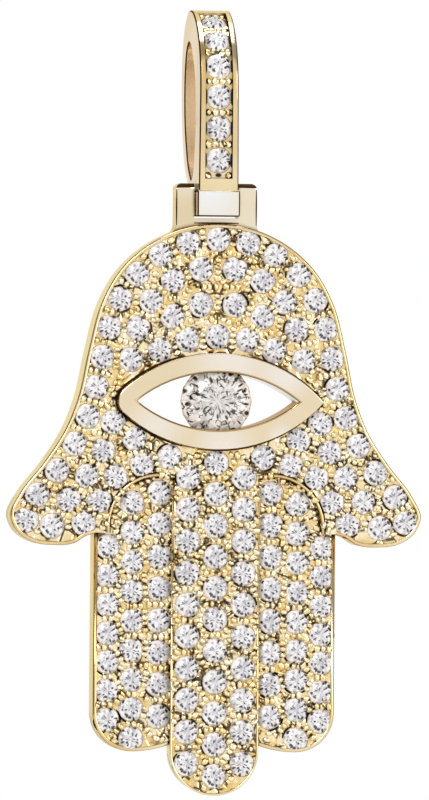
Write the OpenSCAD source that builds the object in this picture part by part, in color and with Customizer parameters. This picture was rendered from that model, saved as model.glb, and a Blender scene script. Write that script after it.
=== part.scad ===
// Hamsa pendant: a pave-set hand with a polished eye, hinged to a stone-set bail.
// Millimetres. +Z is up, the front faces -Y, and X runs across the hand.
// The origin is the inner top of the bail, where the chain rests, in the middle of its width.
// The modules measure depth from the face of the plate, and place() moves them to the origin.

/* [Hand] */
// Height of the hand, from the crown of the palm to the tip of the middle finger
hand_h = 29.6; // [28:0.1:34]
// Height of the palm, from its crown to the undersides of the thumbs
palm_h = 16.7; // [15.5:0.1:18.5]
// Width across the tips of the thumbs
thumb_span = 21.5; // [19.5:0.1:25]
// Thickness of the cast plate
plate_t = 2.1; // [1.9:0.1:3]

/* [Fingers] */
// Width of the middle finger
middle_w = 4.4; // [4.3:0.1:5]
// Width of each outer finger
outer_w = 4.1; // [4.05:0.05:4.6]
// How much shorter the outer fingers are than the middle one
outer_short = 2.2; // [1.5:0.1:3.5]
// Radius of the outer corner of an outer finger's tip
outer_tip_r = 2.0; // [1.4:0.1:2.05]
// Rise of an outer finger's tip from its lowest point to the notch beside the middle finger
notch_rise = 0.40; // [0.3:0.05:0.8]
// Step back from the palm and the middle finger to the outer fingers
finger_step = 0.35; // [0.1:0.05:0.5]
// Depth below the crown where the arched tops of the outer fingers begin
shoulder_drop = 13.1; // [12.8:0.1:14]
// Radius of the arch at the top of an outer finger
shoulder_r = 2.6; // [2.3:0.1:2.8]

/* [Eye] */
// Depth of the centre of the eye below the crown
eye_drop = 9.2; // [8.6:0.1:9.6]
// Width of the polished eye frame, before its left tip is rounded
eye_w = 11.2; // [10.4:0.1:11.6]
// Height of the eye frame
eye_h = 5.04; // [4.6:0.02:5.2]
// Radius of the rounded left tip of the frame
eye_tip_r = 0.85; // [0.3:0.05:1.2]
// Width of the opening in the frame
eye_open_w = 8.5; // [7.5:0.1:9]
// Height of the opening in the frame
eye_open_h = 3.0; // [2.6:0.1:3.3]
// Height of the frame above the face of the plate
eye_proud = 0.55; // [0.3:0.05:0.9]
// Overhang of the frame's flange over the edge of its window in the plate
eye_flange = 0.35; // [0.2:0.05:0.45]
// Diameter of the centre stone
eye_stone_d = 3.7; // [3.4:0.05:3.9]
// Depth of the centre stone's table below the front of the frame
eye_stone_sink = 0.3; // [0.1:0.05:0.4]

/* [Pave stones] */
// Diameter of a pave stone
pave_d = 1.26; // [1.1:0.02:1.26]
// Distance between neighbouring stones in a palm row
stone_step = 1.585; // [1.5:0.005:1.8]
// Distance between rows of palm stones
row_step = 1.46; // [1.42:0.01:1.52]
// Distance of the outermost palm row from the edge of the palm
edge_inset = 0.76; // [0.72:0.01:0.9]
// Distance between the columns of stones in a finger
column_step = 1.42; // [1.4:0.01:1.5]
// Distance between the outermost column of a finger block and the next
outer_column_step = 1.26; // [1.24:0.01:1.34]
// Distance from a fingertip to its last stone
tip_inset = 0.92; // [0.8:0.01:1.2]
// Least distance from a palm stone to the arch of an outer finger
arch_margin = 0.7; // [0.68:0.01:0.8]
// Depth of a pave girdle below the metal
girdle_sink = 0.05; // [0:0.01:0.12]
// Diameter of the pilot hole behind each pave stone
pilot_d = 0.56; // [0.4:0.02:0.7]
// Clearance between a stone and its seat
seat_gap = 0.04; // [0.02:0.005:0.06]

/* [Bail] */
// Width of the bail at its foot
bail_w = 2.1; // [2:0.05:2.15]
// Width of the bail at its top
bail_top_w = 1.98; // [1.9:0.02:2.1]
// Depth of the bail's loop from front to back
bail_depth = 7.1; // [6.5:0.1:8.5]
// Height of the loop from the top of the knuckle to the top of the bail
loop_h = 9.46; // [8.8:0.02:11]
// Thickness of the metal at the top of the loop
bail_top_t = 1.66; // [1.4:0.02:2]
// Thickness of the stone-set front arm
front_arm = 1.7; // [1.5:0.05:2]
// Thickness of the back arm
back_arm = 1.1; // [0.8:0.05:1.4]
// Metal between the bottom of the loop's opening and the top of the knuckle
loop_floor = 0.6; // [0.5:0.05:1]
// Width of the channel that holds the bail's stones
channel_w = 1.44; // [1.4:0.02:1.5]
// Depth of the channel
channel_depth = 0.2; // [0.1:0.02:0.3]
// Diameter of a bail stone
bail_stone_d = 1.3; // [1.2:0.02:1.3]
// Distance between bail stones
bail_stone_step = 1.66; // [1.6:0.01:1.75]
// Number of bail stones
bail_stone_count = 6; // [4:1:6]
// Distance of the lowest bail stone above the top of the knuckle
bail_stone_rise = 1.6; // [1.4:0.05:1.8]
// Distance of the channel's lower end above the top of the knuckle
channel_rise = 0.64; // [0.5:0.02:0.8]

/* [Hinge] */
// Width of the knuckle
knuckle_w = 2.23; // [2.2:0.01:2.4]
// Height of the knuckle
knuckle_h = 1.33; // [1.25:0.01:1.5]
// How far the knuckle's face stands in front of the plate
knuckle_proud = 0.1; // [0:0.01:0.2]
// Thickness of the knuckle's front lip, which hangs before the bar between the ears
knuckle_lip = 0.7; // [0.5:0.05:0.75]
// Running gap between the knuckle and the ears, at each side
side_gap = 0.04; // [0.03:0.005:0.08]
// Gap between the knuckle's lower edge and the bar between the ears
floor_gap = 0.08; // [0.06:0.01:0.12]
// Width of one ear
ear_w = 0.97; // [0.8:0.01:1.2]
// Distance of the ears' front faces behind the face of the plate
ear_set = 0.8; // [0.7:0.02:0.84]
// Height of the ears above the pin's axis
ear_rise = 1.06; // [0.9:0.01:1.2]
// Radius of the rounded top edges of the ears
ear_round = 0.3; // [0.1:0.02:0.4]
// Radius of the fillet between an ear and the palm
ear_fillet = 0.45; // [0.3:0.05:0.6]
// Height of the bar between the ears above the crown of the palm
bar_h = 0.33; // [0.25:0.01:0.5]
// Diameter of the hinge pin
pin_d = 0.5; // [0.4:0.02:0.56]
// Distance of the pin's axis behind the face of the plate
pin_depth = 1.3; // [1.28:0.01:1.4]
// Running clearance round the pin in the knuckle
pin_gap = 0.03; // [0.02:0.005:0.05]
// Clearance round the pin in the ears, where it is fixed
pin_fit = 0.015; // [0.01:0.005:0.02]

/* [Hidden] */

gold = "goldenrod";
diamond = "aliceblue";
fine = 64;
seat_fn = 24;
cut = 1;

// Proportions of a round brilliant, as shares of its diameter.
table_share = 0.56;
crown_share = 0.16;
girdle_share = 0.03;
pavilion_share = 0.43;

// Heights, measured down from the chain's resting place.
loop_top_z = bail_top_t;
knuckle_top_z = loop_top_z - loop_h;
window_h = -knuckle_top_z - loop_floor;
knuckle_bottom_z = knuckle_top_z - knuckle_h;
pin_z = knuckle_top_z - knuckle_h / 2;
bar_z = knuckle_bottom_z - floor_gap;
crown_z = bar_z - bar_h;
eye_z = crown_z - eye_drop;
shoulder_z = crown_z - shoulder_drop;
middle_tip_z = crown_z - hand_h;
outer_tip_z = middle_tip_z + outer_short;

// Places across the hand.
half_span = thumb_span / 2;
finger_half = middle_w / 2 + outer_w;
slot_half = knuckle_w / 2 + side_gap;
ear_half = slot_half + ear_w;

// Edge of the palm from the crown to the thumb's underside, right half.
// Columns: distance down as a share of palm_h, distance out as a share of half the thumb span.
PALM_EDGE = [
    [0.000, 0.000],
    [0.024, 0.210],
    [0.078, 0.365],
    [0.148, 0.477],
    [0.248, 0.564],
    [0.397, 0.626],
    [0.547, 0.677],
    [0.646, 0.738],
    [0.746, 0.838],
    [0.846, 0.958],
    [0.908, 1.000],
    [0.956, 0.970],
    [0.995, 0.872],
    [1.000, 0.800],
    [0.994, 0.693],
    [0.970, 0.629]
];
// The edge ends at the outer finger, at this share of palm_h.
notch_share = 0.962;

// Rows of palm stones that follow the edge of the palm.
// Columns: rows in from the edge, stone steps along to the first stone, spacing in stone steps, count.
EDGE_ROWS = [
    [0.00, 0.00, 1.00, 10],
    [0.00, 10.06, 1.03, 2],
    [-0.04, 12.09, 1.00, 1],
    [0.14, 12.60, 1.00, 1],
    [-0.06, 14.23, 1.00, 1],
    [1.00, 0.57, 1.00, 4],
    [1.00, 4.63, 1.00, 1],
    [1.00, 7.76, 0.99, 3],
    [1.96, 1.72, 1.17, 2],
    [2.23, 0.58, 1.00, 1],
    [1.86, 7.45, 0.95, 2]
];

// Rows of palm stones that follow the eye.
// Columns: +1 above the eye or -1 below it, distance from the frame in stone diameters,
// stone steps along to the first stone, spacing in stone steps, count.
EYE_ROWS = [
    [1, 0.67, 0.00, 1.00, 2],
    [-1, 0.61, 1.58, 1.00, 1],
    [-1, 0.54, 2.86, 0.89, 2],
    [-1, 1.32, 2.55, 1.00, 1]
];

// Columns of finger stones, right half.
// Columns: column steps out, outermost steps out, least spacing in stone steps,
// distance of the first stone below the shoulders, distance of the tip's limit above its lowest point.
FINGER_COLUMNS = [
    [0, 0, 1.01, -0.70, 0.00],
    [1.03, 0, 1.01, 0.06, 0.63],
    [2.07, 0, 1.01, 0.87, 0.88],
    [3.05, 0, 0.95, 1.42, -0.28],
    [3.05, 1, 0.92, 3.70, 0.70]
];

// Side view of the bail's loop.
// Columns: height above the knuckle as a share of loop_h, depth of the front and of the back
// as shares of bail_depth.
LOOP_SECTIONS = [
    [0.000, 0.000, 0.510],
    [0.105, 0.000, 0.750],
    [0.170, 0.000, 0.832],
    [0.270, 0.000, 0.905],
    [0.400, 0.000, 0.970],
    [0.507, 0.000, 1.000],
    [0.666, 0.022, 1.000],
    [0.797, 0.098, 0.968],
    [0.896, 0.222, 0.895],
    [0.962, 0.370, 0.790],
    [0.994, 0.505, 0.690],
    [1.000, 0.600, 0.600]
];

// Side view of the opening in the loop.
// Columns: height above the opening's lowest point as a share of its height, depth of its front and
// of its back as shares of the depth between the two arms.
WINDOW_SECTIONS = [
    [0.000, 0.314, 0.314],
    [0.040, 0.174, 0.477],
    [0.104, 0.105, 0.628],
    [0.236, 0.030, 0.800],
    [0.403, 0.000, 0.940],
    [0.570, 0.005, 1.000],
    [0.736, 0.090, 1.000],
    [0.875, 0.267, 0.940],
    [0.958, 0.440, 0.840],
    [1.000, 0.650, 0.650]
];

// Tangent at the middle one of three points, weighted by the lengths of the two chords.
function tangent(a, b, c) =
    let(u = norm(b - a), v = norm(c - b))
    ((b - a) / u * v + (c - b) / v * u) / (u + v);

// Point at share t of the cubic from p to q, whose tangents are m and n.
function cubic(p, q, m, n, t) =
    (2 * t * t * t - 3 * t * t + 1) * p + (t * t * t - 2 * t * t + t) * m
    + (3 * t * t - 2 * t * t * t) * q + (t * t * t - t * t) * n;

// Smooth curve through points; before and after are the points beyond its two ends.
function curve(points, before, after, steps) =
    let(p = concat([before], points, [after]), last = len(points) - 1)
    concat(
        [for (i = [1:last], k = [0:steps - 1])
            let(chord = norm(p[i + 1] - p[i]),
                m = tangent(p[i - 1], p[i], p[i + 1]) * chord,
                n = tangent(p[i], p[i + 1], p[i + 2]) * chord)
            cubic(p[i], p[i + 1], m, n, k / steps)],
        [points[last]]);

function mirrored(points) = [for (p = points) [-p[0], p[1]]];
function reversed(points) = [for (i = [len(points) - 1:-1:0]) points[i]];

// Distance along a path to each of its points.
function distances(path) =
    [for (i = 0, s = 0; i < len(path);
          i = i + 1, s = s + (i < len(path) ? norm(path[i] - path[i - 1]) : 0)) s];

// Point and direction at a distance along a path, as [point, unit direction].
function along(path, marks, s) =
    let(i = max([for (k = [0:len(path) - 2]) if (k == 0 || marks[k] <= s) k]),
        span = marks[i + 1] - marks[i],
        way = (path[i + 1] - path[i]) / span)
    [path[i] + way * (s - marks[i]), way];

// Path moved to its right-hand side by d; its first point lies on the middle line.
function inset(path, d) =
    let(n = len(path), p = concat([[-path[1][0], path[1][1]]], path, [2 * path[n - 1] - path[n - 2]]))
    [for (i = [1:len(path)])
        let(way = p[i + 1] - p[i - 1], u = way / norm(way))
        p[i] + [u[1], -u[0]] * d];

// Right half of the palm's edge, from the crown round the thumb to the outer finger.
palm_rows = concat(
    [for (row = PALM_EDGE) [row[1] * half_span, crown_z - row[0] * palm_h]],
    [[finger_half, crown_z - notch_share * palm_h]]);
palm_before = [-palm_rows[1][0], palm_rows[1][1]];
palm_after = 2 * palm_rows[len(palm_rows) - 1] - palm_rows[len(palm_rows) - 2];
palm_side = curve(palm_rows, palm_before, palm_after, 5);

// Radius of an arc from its chord and its rise.
function arc_radius(chord, rise) = (chord * chord / 4 + rise * rise) / (2 * rise);

eye_r = arc_radius(eye_w, eye_h / 2);
eye_centre = eye_r - eye_h / 2;
open_r = arc_radius(eye_open_w, eye_open_h / 2);
open_centre = open_r - eye_open_h / 2;

// Distance from a point to the outside of the eye frame, below zero inside it.
function eye_distance(p) =
    max([for (side = [-1, 1]) norm(p - [0, eye_z - side * eye_centre]) - eye_r]);

// Middle of the arch at the top of the right outer finger.
arch_x = middle_w / 2 + 0.3 * shoulder_r;
arch_z = shoulder_z - shoulder_r;

// True where a palm stone is clear of the eye, of the finger arches and of the fingers.
function palm_place_ok(p) =
    eye_distance(p) > pave_d / 2 + seat_gap / 2
    && norm([abs(p[0]), p[1]] - [arch_x, arch_z]) > shoulder_r + arch_margin
    && (abs(p[0]) > arch_x + shoulder_r || p[1] > arch_z);

// Places of the palm stones in the right half, with x of 0 for those on the middle line.
edge_places = [for (row = EDGE_ROWS)
    let(path = inset(palm_side, edge_inset + row[0] * row_step),
        marks = distances(path))
    for (i = [0:row[3] - 1])
        let(s = (row[1] + i * row[2]) * stone_step)
        if (s < marks[len(marks) - 1]) along(path, marks, s)[0]];
eye_places = [for (row = EYE_ROWS, i = [0:row[4] - 1])
    let(r = eye_r + row[1] * pave_d, turn = (row[2] + i * row[3]) * stone_step / r * 180 / PI)
    [r * sin(turn), eye_z + row[0] * (r * cos(turn) - eye_centre)]];
palm_half = [for (p = concat(edge_places, eye_places)) if (palm_place_ok(p)) p];
palm_places = concat(palm_half, mirrored([for (p = palm_half) if (p[0] > 0.01) p]));

// Places of the finger stones, each column spread evenly between its first and last stone.
column_places = [for (c = [0:len(FINGER_COLUMNS) - 1])
    let(row = FINGER_COLUMNS[c],
        x = row[0] * column_step + row[1] * outer_column_step,
        first = shoulder_z - row[3],
        tip_z = c < 2 ? middle_tip_z : outer_tip_z,
        last = tip_z + tip_inset + row[4],
        gaps = floor((first - last) / (row[2] * stone_step)))
    for (i = [0:gaps]) [x, first + (last - first) * i / gaps]];
finger_places = concat(column_places, mirrored([for (p = column_places) if (p[0] > 0.01) p]));

// Height of the metal's face at a finger stone: the outer fingers are set back.
function face_y(p) = abs(p[0]) > middle_w / 2 ? finger_step : 0;

// Side view of the bail as [depth, height] points, up the front and down the back.
loop_front = [for (row = LOOP_SECTIONS) [row[1] * bail_depth, knuckle_top_z + row[0] * loop_h]];
loop_back = [for (row = LOOP_SECTIONS) [row[2] * bail_depth, knuckle_top_z + row[0] * loop_h]];
loop_ring = concat(loop_front, [for (i = [len(loop_back) - 2:-1:0]) loop_back[i]]);
loop_side = curve(loop_ring, loop_ring[0] - [0, 1], loop_ring[len(loop_ring) - 1] - [1, 1], 4);

window_d = bail_depth - front_arm - back_arm;
chain_y = front_arm + WINDOW_SECTIONS[len(WINDOW_SECTIONS) - 1][1] * window_d;
function window_point(row, side) =
    [front_arm + row[side] * window_d, (row[0] - 1) * window_h];
window_ring = concat(
    [for (row = WINDOW_SECTIONS) window_point(row, 1)],
    [for (i = [len(WINDOW_SECTIONS) - 2:-1:1]) window_point(WINDOW_SECTIONS[i], 2)]);
window_side = curve(concat(window_ring, [window_ring[0]]),
                    window_ring[len(window_ring) - 1], window_ring[1], 3);

// The front strip of the bail, from the knuckle up and over the top.
strip_marks = distances(loop_side);
bail_places = [for (i = [0:bail_stone_count - 1])
    along(loop_side, strip_marks, bail_stone_rise + i * bail_stone_step)];
channel_end = bail_stone_rise + (bail_stone_count - 0.45) * bail_stone_step;

// Upright slab of an outline drawn in X and Z, from depth y0 to depth y1.
module slab(y0, y1) {
    translate([0, y1, 0])
        rotate([90, 0, 0])
            linear_extrude(height = y1 - y0)
                children();
}

// Solid of a side view drawn as depth and height, w wide, centred on X.
module side_slab(w) {
    translate([-w / 2, 0, 0])
        rotate([90, 0, 90])
            linear_extrude(height = w)
                children();
}

// Moves a piece so that the chain's resting place is at the origin.
module place() {
    translate([0, -chain_y, 0]) children();
}

// Both sides of the hand from the right one.
module both_sides() {
    children();
    mirror([1, 0, 0]) children();
}

// Corners of one brilliant, table up along n, with u and v across; girdle's upper edge at p.
function gem_corners(p, u, v, n, d) = [
    for (ring = [[table_share, crown_share], [1, 0], [1, -girdle_share]], k = [0:7])
        let(a = 45 * k + 22.5)
        p + (u * cos(a) + v * sin(a)) * ring[0] * d / 2 + n * ring[1] * d,
    p - n * (girdle_share + pavilion_share) * d];

// Faces of one brilliant whose corners start at index b.
function gem_faces(b) = concat(
    [[for (k = [7:-1:0]) b + k]],
    [for (ring = [0, 8], k = [0:7])
        [b + ring + k, b + ring + (k + 1) % 8, b + ring + 8 + (k + 1) % 8, b + ring + 8 + k]],
    [for (k = [0:7]) [b + 16 + k, b + 16 + (k + 1) % 8, b + 24]]);

// A field of brilliants; each setting is [place, across, along, outward].
module gems(settings, d) {
    polyhedron(
        points = [for (s = settings) each gem_corners(s[0], s[1], s[2], s[3], d)],
        faces = [for (i = [0:len(settings) - 1]) each gem_faces(25 * i)]);
}

// Space for one brilliant and its tool: outward is +Z, the girdle's upper edge is at z of 0.
module seat(d, above, pilot, deep) {
    r = d / 2 + seat_gap;
    ledge = -girdle_share * d - seat_gap;
    slope = 2 * pavilion_share;
    rotate_extrude($fn = seat_fn)
        polygon([[0, above], [r, above], [r, ledge],
                 [pilot / 2, ledge - (r - pilot / 2) * slope],
                 [pilot / 2, -deep], [0, -deep]]);
}

// Setting of a stone in the face of the hand at [x, z], its girdle at depth y.
function face_setting(p, y) = [[p[0], y, p[1]], [1, 0, 0], [0, 0, 1], [0, -1, 0]];

// Seats for stones in the face of the hand.
module face_seats(places) {
    for (p = places)
        translate([p[0], face_y(p) + girdle_sink, p[1]])
            rotate([90, 0, 0])
                seat(pave_d, cut, pilot_d, plate_t + cut);
}

// Almond of two arcs, centred on the eye.
module almond(r, centre) {
    translate([0, eye_z])
        intersection() {
            translate([0, centre]) circle(r, $fn = fine * 2);
            translate([0, -centre]) circle(r, $fn = fine * 2);
        }
}

// Outline of the eye frame, drawn in by d: pointed at the right and rounded at the left.
module eye_outline(d) {
    r = eye_r - d;
    tip = max(eye_tip_r - d, 0.1);
    tip_x = sqrt((r - tip) * (r - tip) - eye_centre * eye_centre);
    touch_x = tip_x * r / (r - tip);
    intersection() {
        almond(r, eye_centre);
        translate([-touch_x, eye_z - eye_h]) square([touch_x + eye_w, 2 * eye_h]);
    }
    translate([-tip_x, eye_z]) circle(tip, $fn = fine);
}

// Outline of the palm with both thumbs.
module palm_outline() {
    polygon(concat(palm_side, reversed(mirrored([for (p = palm_side) if (p[0] > 0.001) p]))));
}

// Outline of the middle finger, from inside the palm to its round tip.
module middle_outline() {
    r = middle_w / 2;
    translate([-r, middle_tip_z + r]) square([middle_w, shoulder_z - middle_tip_z - r]);
    translate([0, middle_tip_z + r]) circle(r, $fn = fine);
}

// Outline of the right outer finger: a tight outer corner and a shallow arc to the notch.
module outer_outline() {
    inner = middle_w / 2;
    low_x = finger_half - outer_tip_r;
    low_z = outer_tip_z + outer_tip_r;
    shallow_r = arc_radius(2 * (low_x - inner), notch_rise);
    translate([inner, low_z]) square([outer_w, arch_z - low_z]);
    translate([low_x, low_z]) circle(outer_tip_r, $fn = fine);
    intersection() {
        translate([low_x, outer_tip_z + shallow_r]) circle(shallow_r, $fn = fine * 2);
        translate([inner, outer_tip_z]) square([low_x - inner, outer_tip_r + cut]);
    }
}

// The set-back field at the top of the right outer finger, under its arch.
module arch_outline() {
    inner = middle_w / 2;
    base_z = crown_z - notch_share * palm_h;
    intersection() {
        union() {
            translate([arch_x, arch_z]) circle(shoulder_r, $fn = fine);
            translate([inner, base_z]) square([arch_x + shoulder_r - inner, arch_z - base_z]);
            translate([inner, base_z - cut]) square([outer_w + cut, cut]);
        }
        translate([inner, base_z - cut]) square([2 * outer_w, shoulder_r * 4]);
    }
}

// Front view of the two ears and the bar that joins them.
module ears_outline() {
    top_z = pin_z + ear_rise;
    difference() {
        union() {
            translate([-ear_half, crown_z - 1]) square([2 * ear_half, top_z - ear_round - crown_z + 1]);
            translate([-ear_half + ear_round, crown_z])
                square([2 * (ear_half - ear_round), top_z - crown_z]);
            both_sides()
                translate([ear_half - ear_round, top_z - ear_round]) circle(ear_round, $fn = fine);
        }
        translate([-slot_half, bar_z]) square([2 * slot_half, top_z - bar_z + cut]);
    }
}

// Fillet between the right ear and the dome of the palm, tangent to both.
module fillet_outline() {
    dome_r = arc_radius(2 * PALM_EDGE[3][1] * half_span, PALM_EDGE[3][0] * palm_h);
    dome_z = crown_z - dome_r;
    x = ear_half + ear_fillet;
    reach = dome_r + ear_fillet;
    z = dome_z + sqrt(reach * reach - x * x);
    touch = [x, z - dome_z] * dome_r / reach + [0, dome_z];
    difference() {
        polygon([[ear_half - ear_w / 2, z], [x, z], touch, [ear_half - ear_w / 2, touch[1] - ear_fillet]]);
        translate([x, z]) circle(ear_fillet, $fn = fine);
    }
}

// Side view of the ears: the top edges are rounded at the front and at the back.
module ears_side() {
    top_z = pin_z + ear_rise;
    translate([ear_set, crown_z - 2]) square([plate_t - ear_set, top_z - ear_round - crown_z + 2]);
    translate([ear_set + ear_round, top_z - ear_round - cut])
        square([plate_t - ear_set - 2 * ear_round, ear_round + cut]);
    for (y = [ear_set + ear_round, plate_t - ear_round])
        translate([y, top_z - ear_round]) circle(ear_round, $fn = fine);
}

// The two ears with their bar and fillets.
module ears() {
    intersection() {
        slab(ear_set, plate_t) {
            ears_outline();
            both_sides() fillet_outline();
        }
        side_slab(2 * (ear_half + 2 * ear_fillet)) ears_side();
    }
}

// Straight bore for the pin, w long, centred on X.
module pin_bore(r, w) {
    translate([-w / 2, pin_depth, pin_z])
        rotate([0, 90, 0])
            cylinder(h = w, r = r, $fn = fine);
}

// The cast hand: palm, thumbs, fingers and hinge ears, with the window for the eye and all seats.
module hand_plate() {
    color(gold)
        difference() {
            union() {
                difference() {
                    slab(0, plate_t) palm_outline();
                    slab(-cut, finger_step) both_sides() arch_outline();
                }
                slab(0, plate_t) middle_outline();
                slab(finger_step, plate_t) both_sides() outer_outline();
                ears();
            }
            slab(-cut, plate_t + cut) eye_outline(eye_flange - seat_gap);
            pin_bore(pin_d / 2 + pin_fit, 2 * ear_half + cut);
            face_seats(palm_places);
            face_seats(finger_places);
        }
}

// The polished frame of the eye: a raised flange on a sleeve that lines the window.
module eye_frame() {
    color(gold)
        difference() {
            union() {
                slab(-eye_proud, -seat_gap / 2) eye_outline(0);
                slab(-eye_proud / 2, plate_t) eye_outline(eye_flange);
            }
            slab(-eye_proud - cut, plate_t + cut) almond(open_r, open_centre);
            translate([0, eye_girdle_y, eye_z]) rotate([90, 0, 0]) eye_seat();
        }
}

eye_girdle_y = -eye_proud + eye_stone_sink + crown_share * eye_stone_d;

// Groove that holds the centre stone: its own profile, grown by the seat's clearance.
module eye_seat() {
    r = eye_stone_d / 2 + seat_gap;
    crown = crown_share * eye_stone_d + seat_gap;
    low = -(girdle_share + pavilion_share) * eye_stone_d - 2 * seat_gap;
    rotate_extrude($fn = fine)
        polygon([[0, crown], [table_share * eye_stone_d / 2 + seat_gap, crown], [r, seat_gap],
                 [r, -girdle_share * eye_stone_d - seat_gap], [0, low]]);
}

// The large brilliant in the middle of the eye.
module eye_stone() {
    color(diamond)
        gems([face_setting([0, eye_z], eye_girdle_y)], eye_stone_d);
}

// The pave stones of the palm, the cheeks and the thumbs.
module palm_stones() {
    color(diamond)
        gems([for (p = palm_places) face_setting(p, girdle_sink)], pave_d);
}

// The pave stones of the three fingers.
module finger_stones() {
    color(diamond)
        gems([for (p = finger_places) face_setting(p, face_y(p) + girdle_sink)], pave_d);
}

// The straight pin through both ears and the knuckle, flush with the ears' outer faces.
module hinge_pin() {
    color(gold) pin_bore(pin_d / 2, 2 * ear_half);
}

// Side view of the knuckle: a barrel round the pin with a flat face and a lip in front.
module knuckle_side() {
    half = knuckle_h / 2;
    translate([pin_depth, pin_z]) circle(half, $fn = fine);
    translate([-knuckle_proud, pin_z]) square([pin_depth + knuckle_proud, half]);
    translate([-knuckle_proud, knuckle_bottom_z]) square([knuckle_lip, knuckle_h]);
    translate([-knuckle_proud, pin_z - half / 2]) square([pin_depth + knuckle_proud, half]);
}

// Side view of the metal that joins the loop to the knuckle, chamfered at its back.
module neck_side() {
    back = loop_back[0][0];
    chamfer = 0.4;
    overlap = 0.1;
    polygon([[0, knuckle_top_z + overlap], [0, pin_z], [pin_depth + knuckle_h / 2, pin_z],
             [back - chamfer, knuckle_top_z - overlap], [back, knuckle_top_z],
             [back, knuckle_top_z + overlap]]);
}

// Side view of the channel floor's cut along the front strip.
module channel_side() {
    steps = 36;
    marks = [for (i = [0:steps])
        let(at = along(loop_side, strip_marks, channel_rise + (channel_end - channel_rise) * i / steps),
            out = [-at[1][1], at[1][0]])
        [at[0] + out * cut / 2, at[0] - out * channel_depth]];
    polygon(concat([for (m = marks) m[0]], reversed([for (m = marks) m[1]])));
}

// Front view of the bail: it narrows a little towards the top.
module bail_outline() {
    polygon([[-bail_w / 2, knuckle_top_z - knuckle_h], [bail_w / 2, knuckle_top_z - knuckle_h],
             [bail_top_w / 2, loop_top_z + cut], [-bail_top_w / 2, loop_top_z + cut]]);
}

// Setting of a bail stone at a place on the front strip.
function bail_setting(at, sink) =
    let(n = [0, -at[1][1], at[1][0]], t = [0, at[1][0], at[1][1]])
    [[0, at[0][0], at[0][1]] - n * sink, [1, 0, 0], t, n];

bail_sink = channel_depth + girdle_sink;

// The bail: loop, stone channel and knuckle, cast in one.
module bail() {
    color(gold)
        difference() {
            union() {
                intersection() {
                    side_slab(bail_w + cut) {
                        polygon(loop_side);
                        neck_side();
                    }
                    slab(-cut, bail_depth + cut) bail_outline();
                }
                side_slab(knuckle_w) knuckle_side();
            }
            side_slab(bail_w + 2 * cut) polygon(window_side);
            side_slab(channel_w) channel_side();
            pin_bore(pin_d / 2 + pin_gap, knuckle_w + cut);
            for (at = bail_places)
                translate([0, at[0][0], at[0][1]])
                    rotate([atan2(at[1][1], at[1][0]), 0, 0])
                        translate([0, 0, -bail_sink])
                            seat(bail_stone_d, cut, pilot_d, front_arm * 0.7);
        }
}

// The six brilliants of the bail.
module bail_stones() {
    color(diamond)
        gems([for (at = bail_places) bail_setting(at, bail_sink)], bail_stone_d);
}

place() bail();
place() bail_stones();
place() hinge_pin();
place() hand_plate();
place() eye_frame();
place() eye_stone();
place() palm_stones();
place() finger_stones();
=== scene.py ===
"""Hamsa pendant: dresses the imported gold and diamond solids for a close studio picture.

The gold castings are softened copies of their solids, every stone is a full brilliant, and the
grains and bright-cut rims of the pave are made here.
"""
from __future__ import annotations

import logging
import math
from dataclasses import dataclass
from enum import Enum
from typing import Any, Callable, Sequence

import bmesh
import bpy
import numpy as np
from mathutils import Matrix, Vector

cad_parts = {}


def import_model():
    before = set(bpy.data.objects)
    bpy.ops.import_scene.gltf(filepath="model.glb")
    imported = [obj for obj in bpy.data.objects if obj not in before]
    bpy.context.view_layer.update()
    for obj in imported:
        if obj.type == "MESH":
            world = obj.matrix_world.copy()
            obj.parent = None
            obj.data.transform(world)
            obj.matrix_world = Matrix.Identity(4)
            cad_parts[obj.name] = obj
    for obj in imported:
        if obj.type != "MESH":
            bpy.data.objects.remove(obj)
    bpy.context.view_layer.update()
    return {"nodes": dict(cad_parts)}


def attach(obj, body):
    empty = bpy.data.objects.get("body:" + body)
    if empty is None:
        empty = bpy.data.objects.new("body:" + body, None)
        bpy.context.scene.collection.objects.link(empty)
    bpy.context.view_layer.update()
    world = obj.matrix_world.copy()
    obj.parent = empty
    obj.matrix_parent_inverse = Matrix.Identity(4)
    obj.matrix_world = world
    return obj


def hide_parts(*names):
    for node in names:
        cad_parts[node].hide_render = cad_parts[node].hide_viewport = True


LOG = logging.getLogger("hamsa")
MM = 0.001
# Depth of the plate's face, and how far behind it the outer fingers' face lies, in millimetres.
FACE_Y = -4.495
STEP = 0.35

Array = np.ndarray
Colour = tuple[float, float, float]
Triple = tuple[float, float, float]
Span = tuple[float, float]
Material = bpy.types.Material
Piece = bpy.types.Object


class Body(Enum):
    """The two rigid bodies of the pendant."""

    BAIL = "bail_body"
    HAND = "hand_body"


class Slot(Enum):
    """Material slots of the record."""

    GOLD = "yellow_gold"
    POLISHED = "polished_gold"
    PAVE = "pave_diamond"
    CENTRE = "centre_diamond"


# ---------------------------------------------------------------- shader expressions


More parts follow.
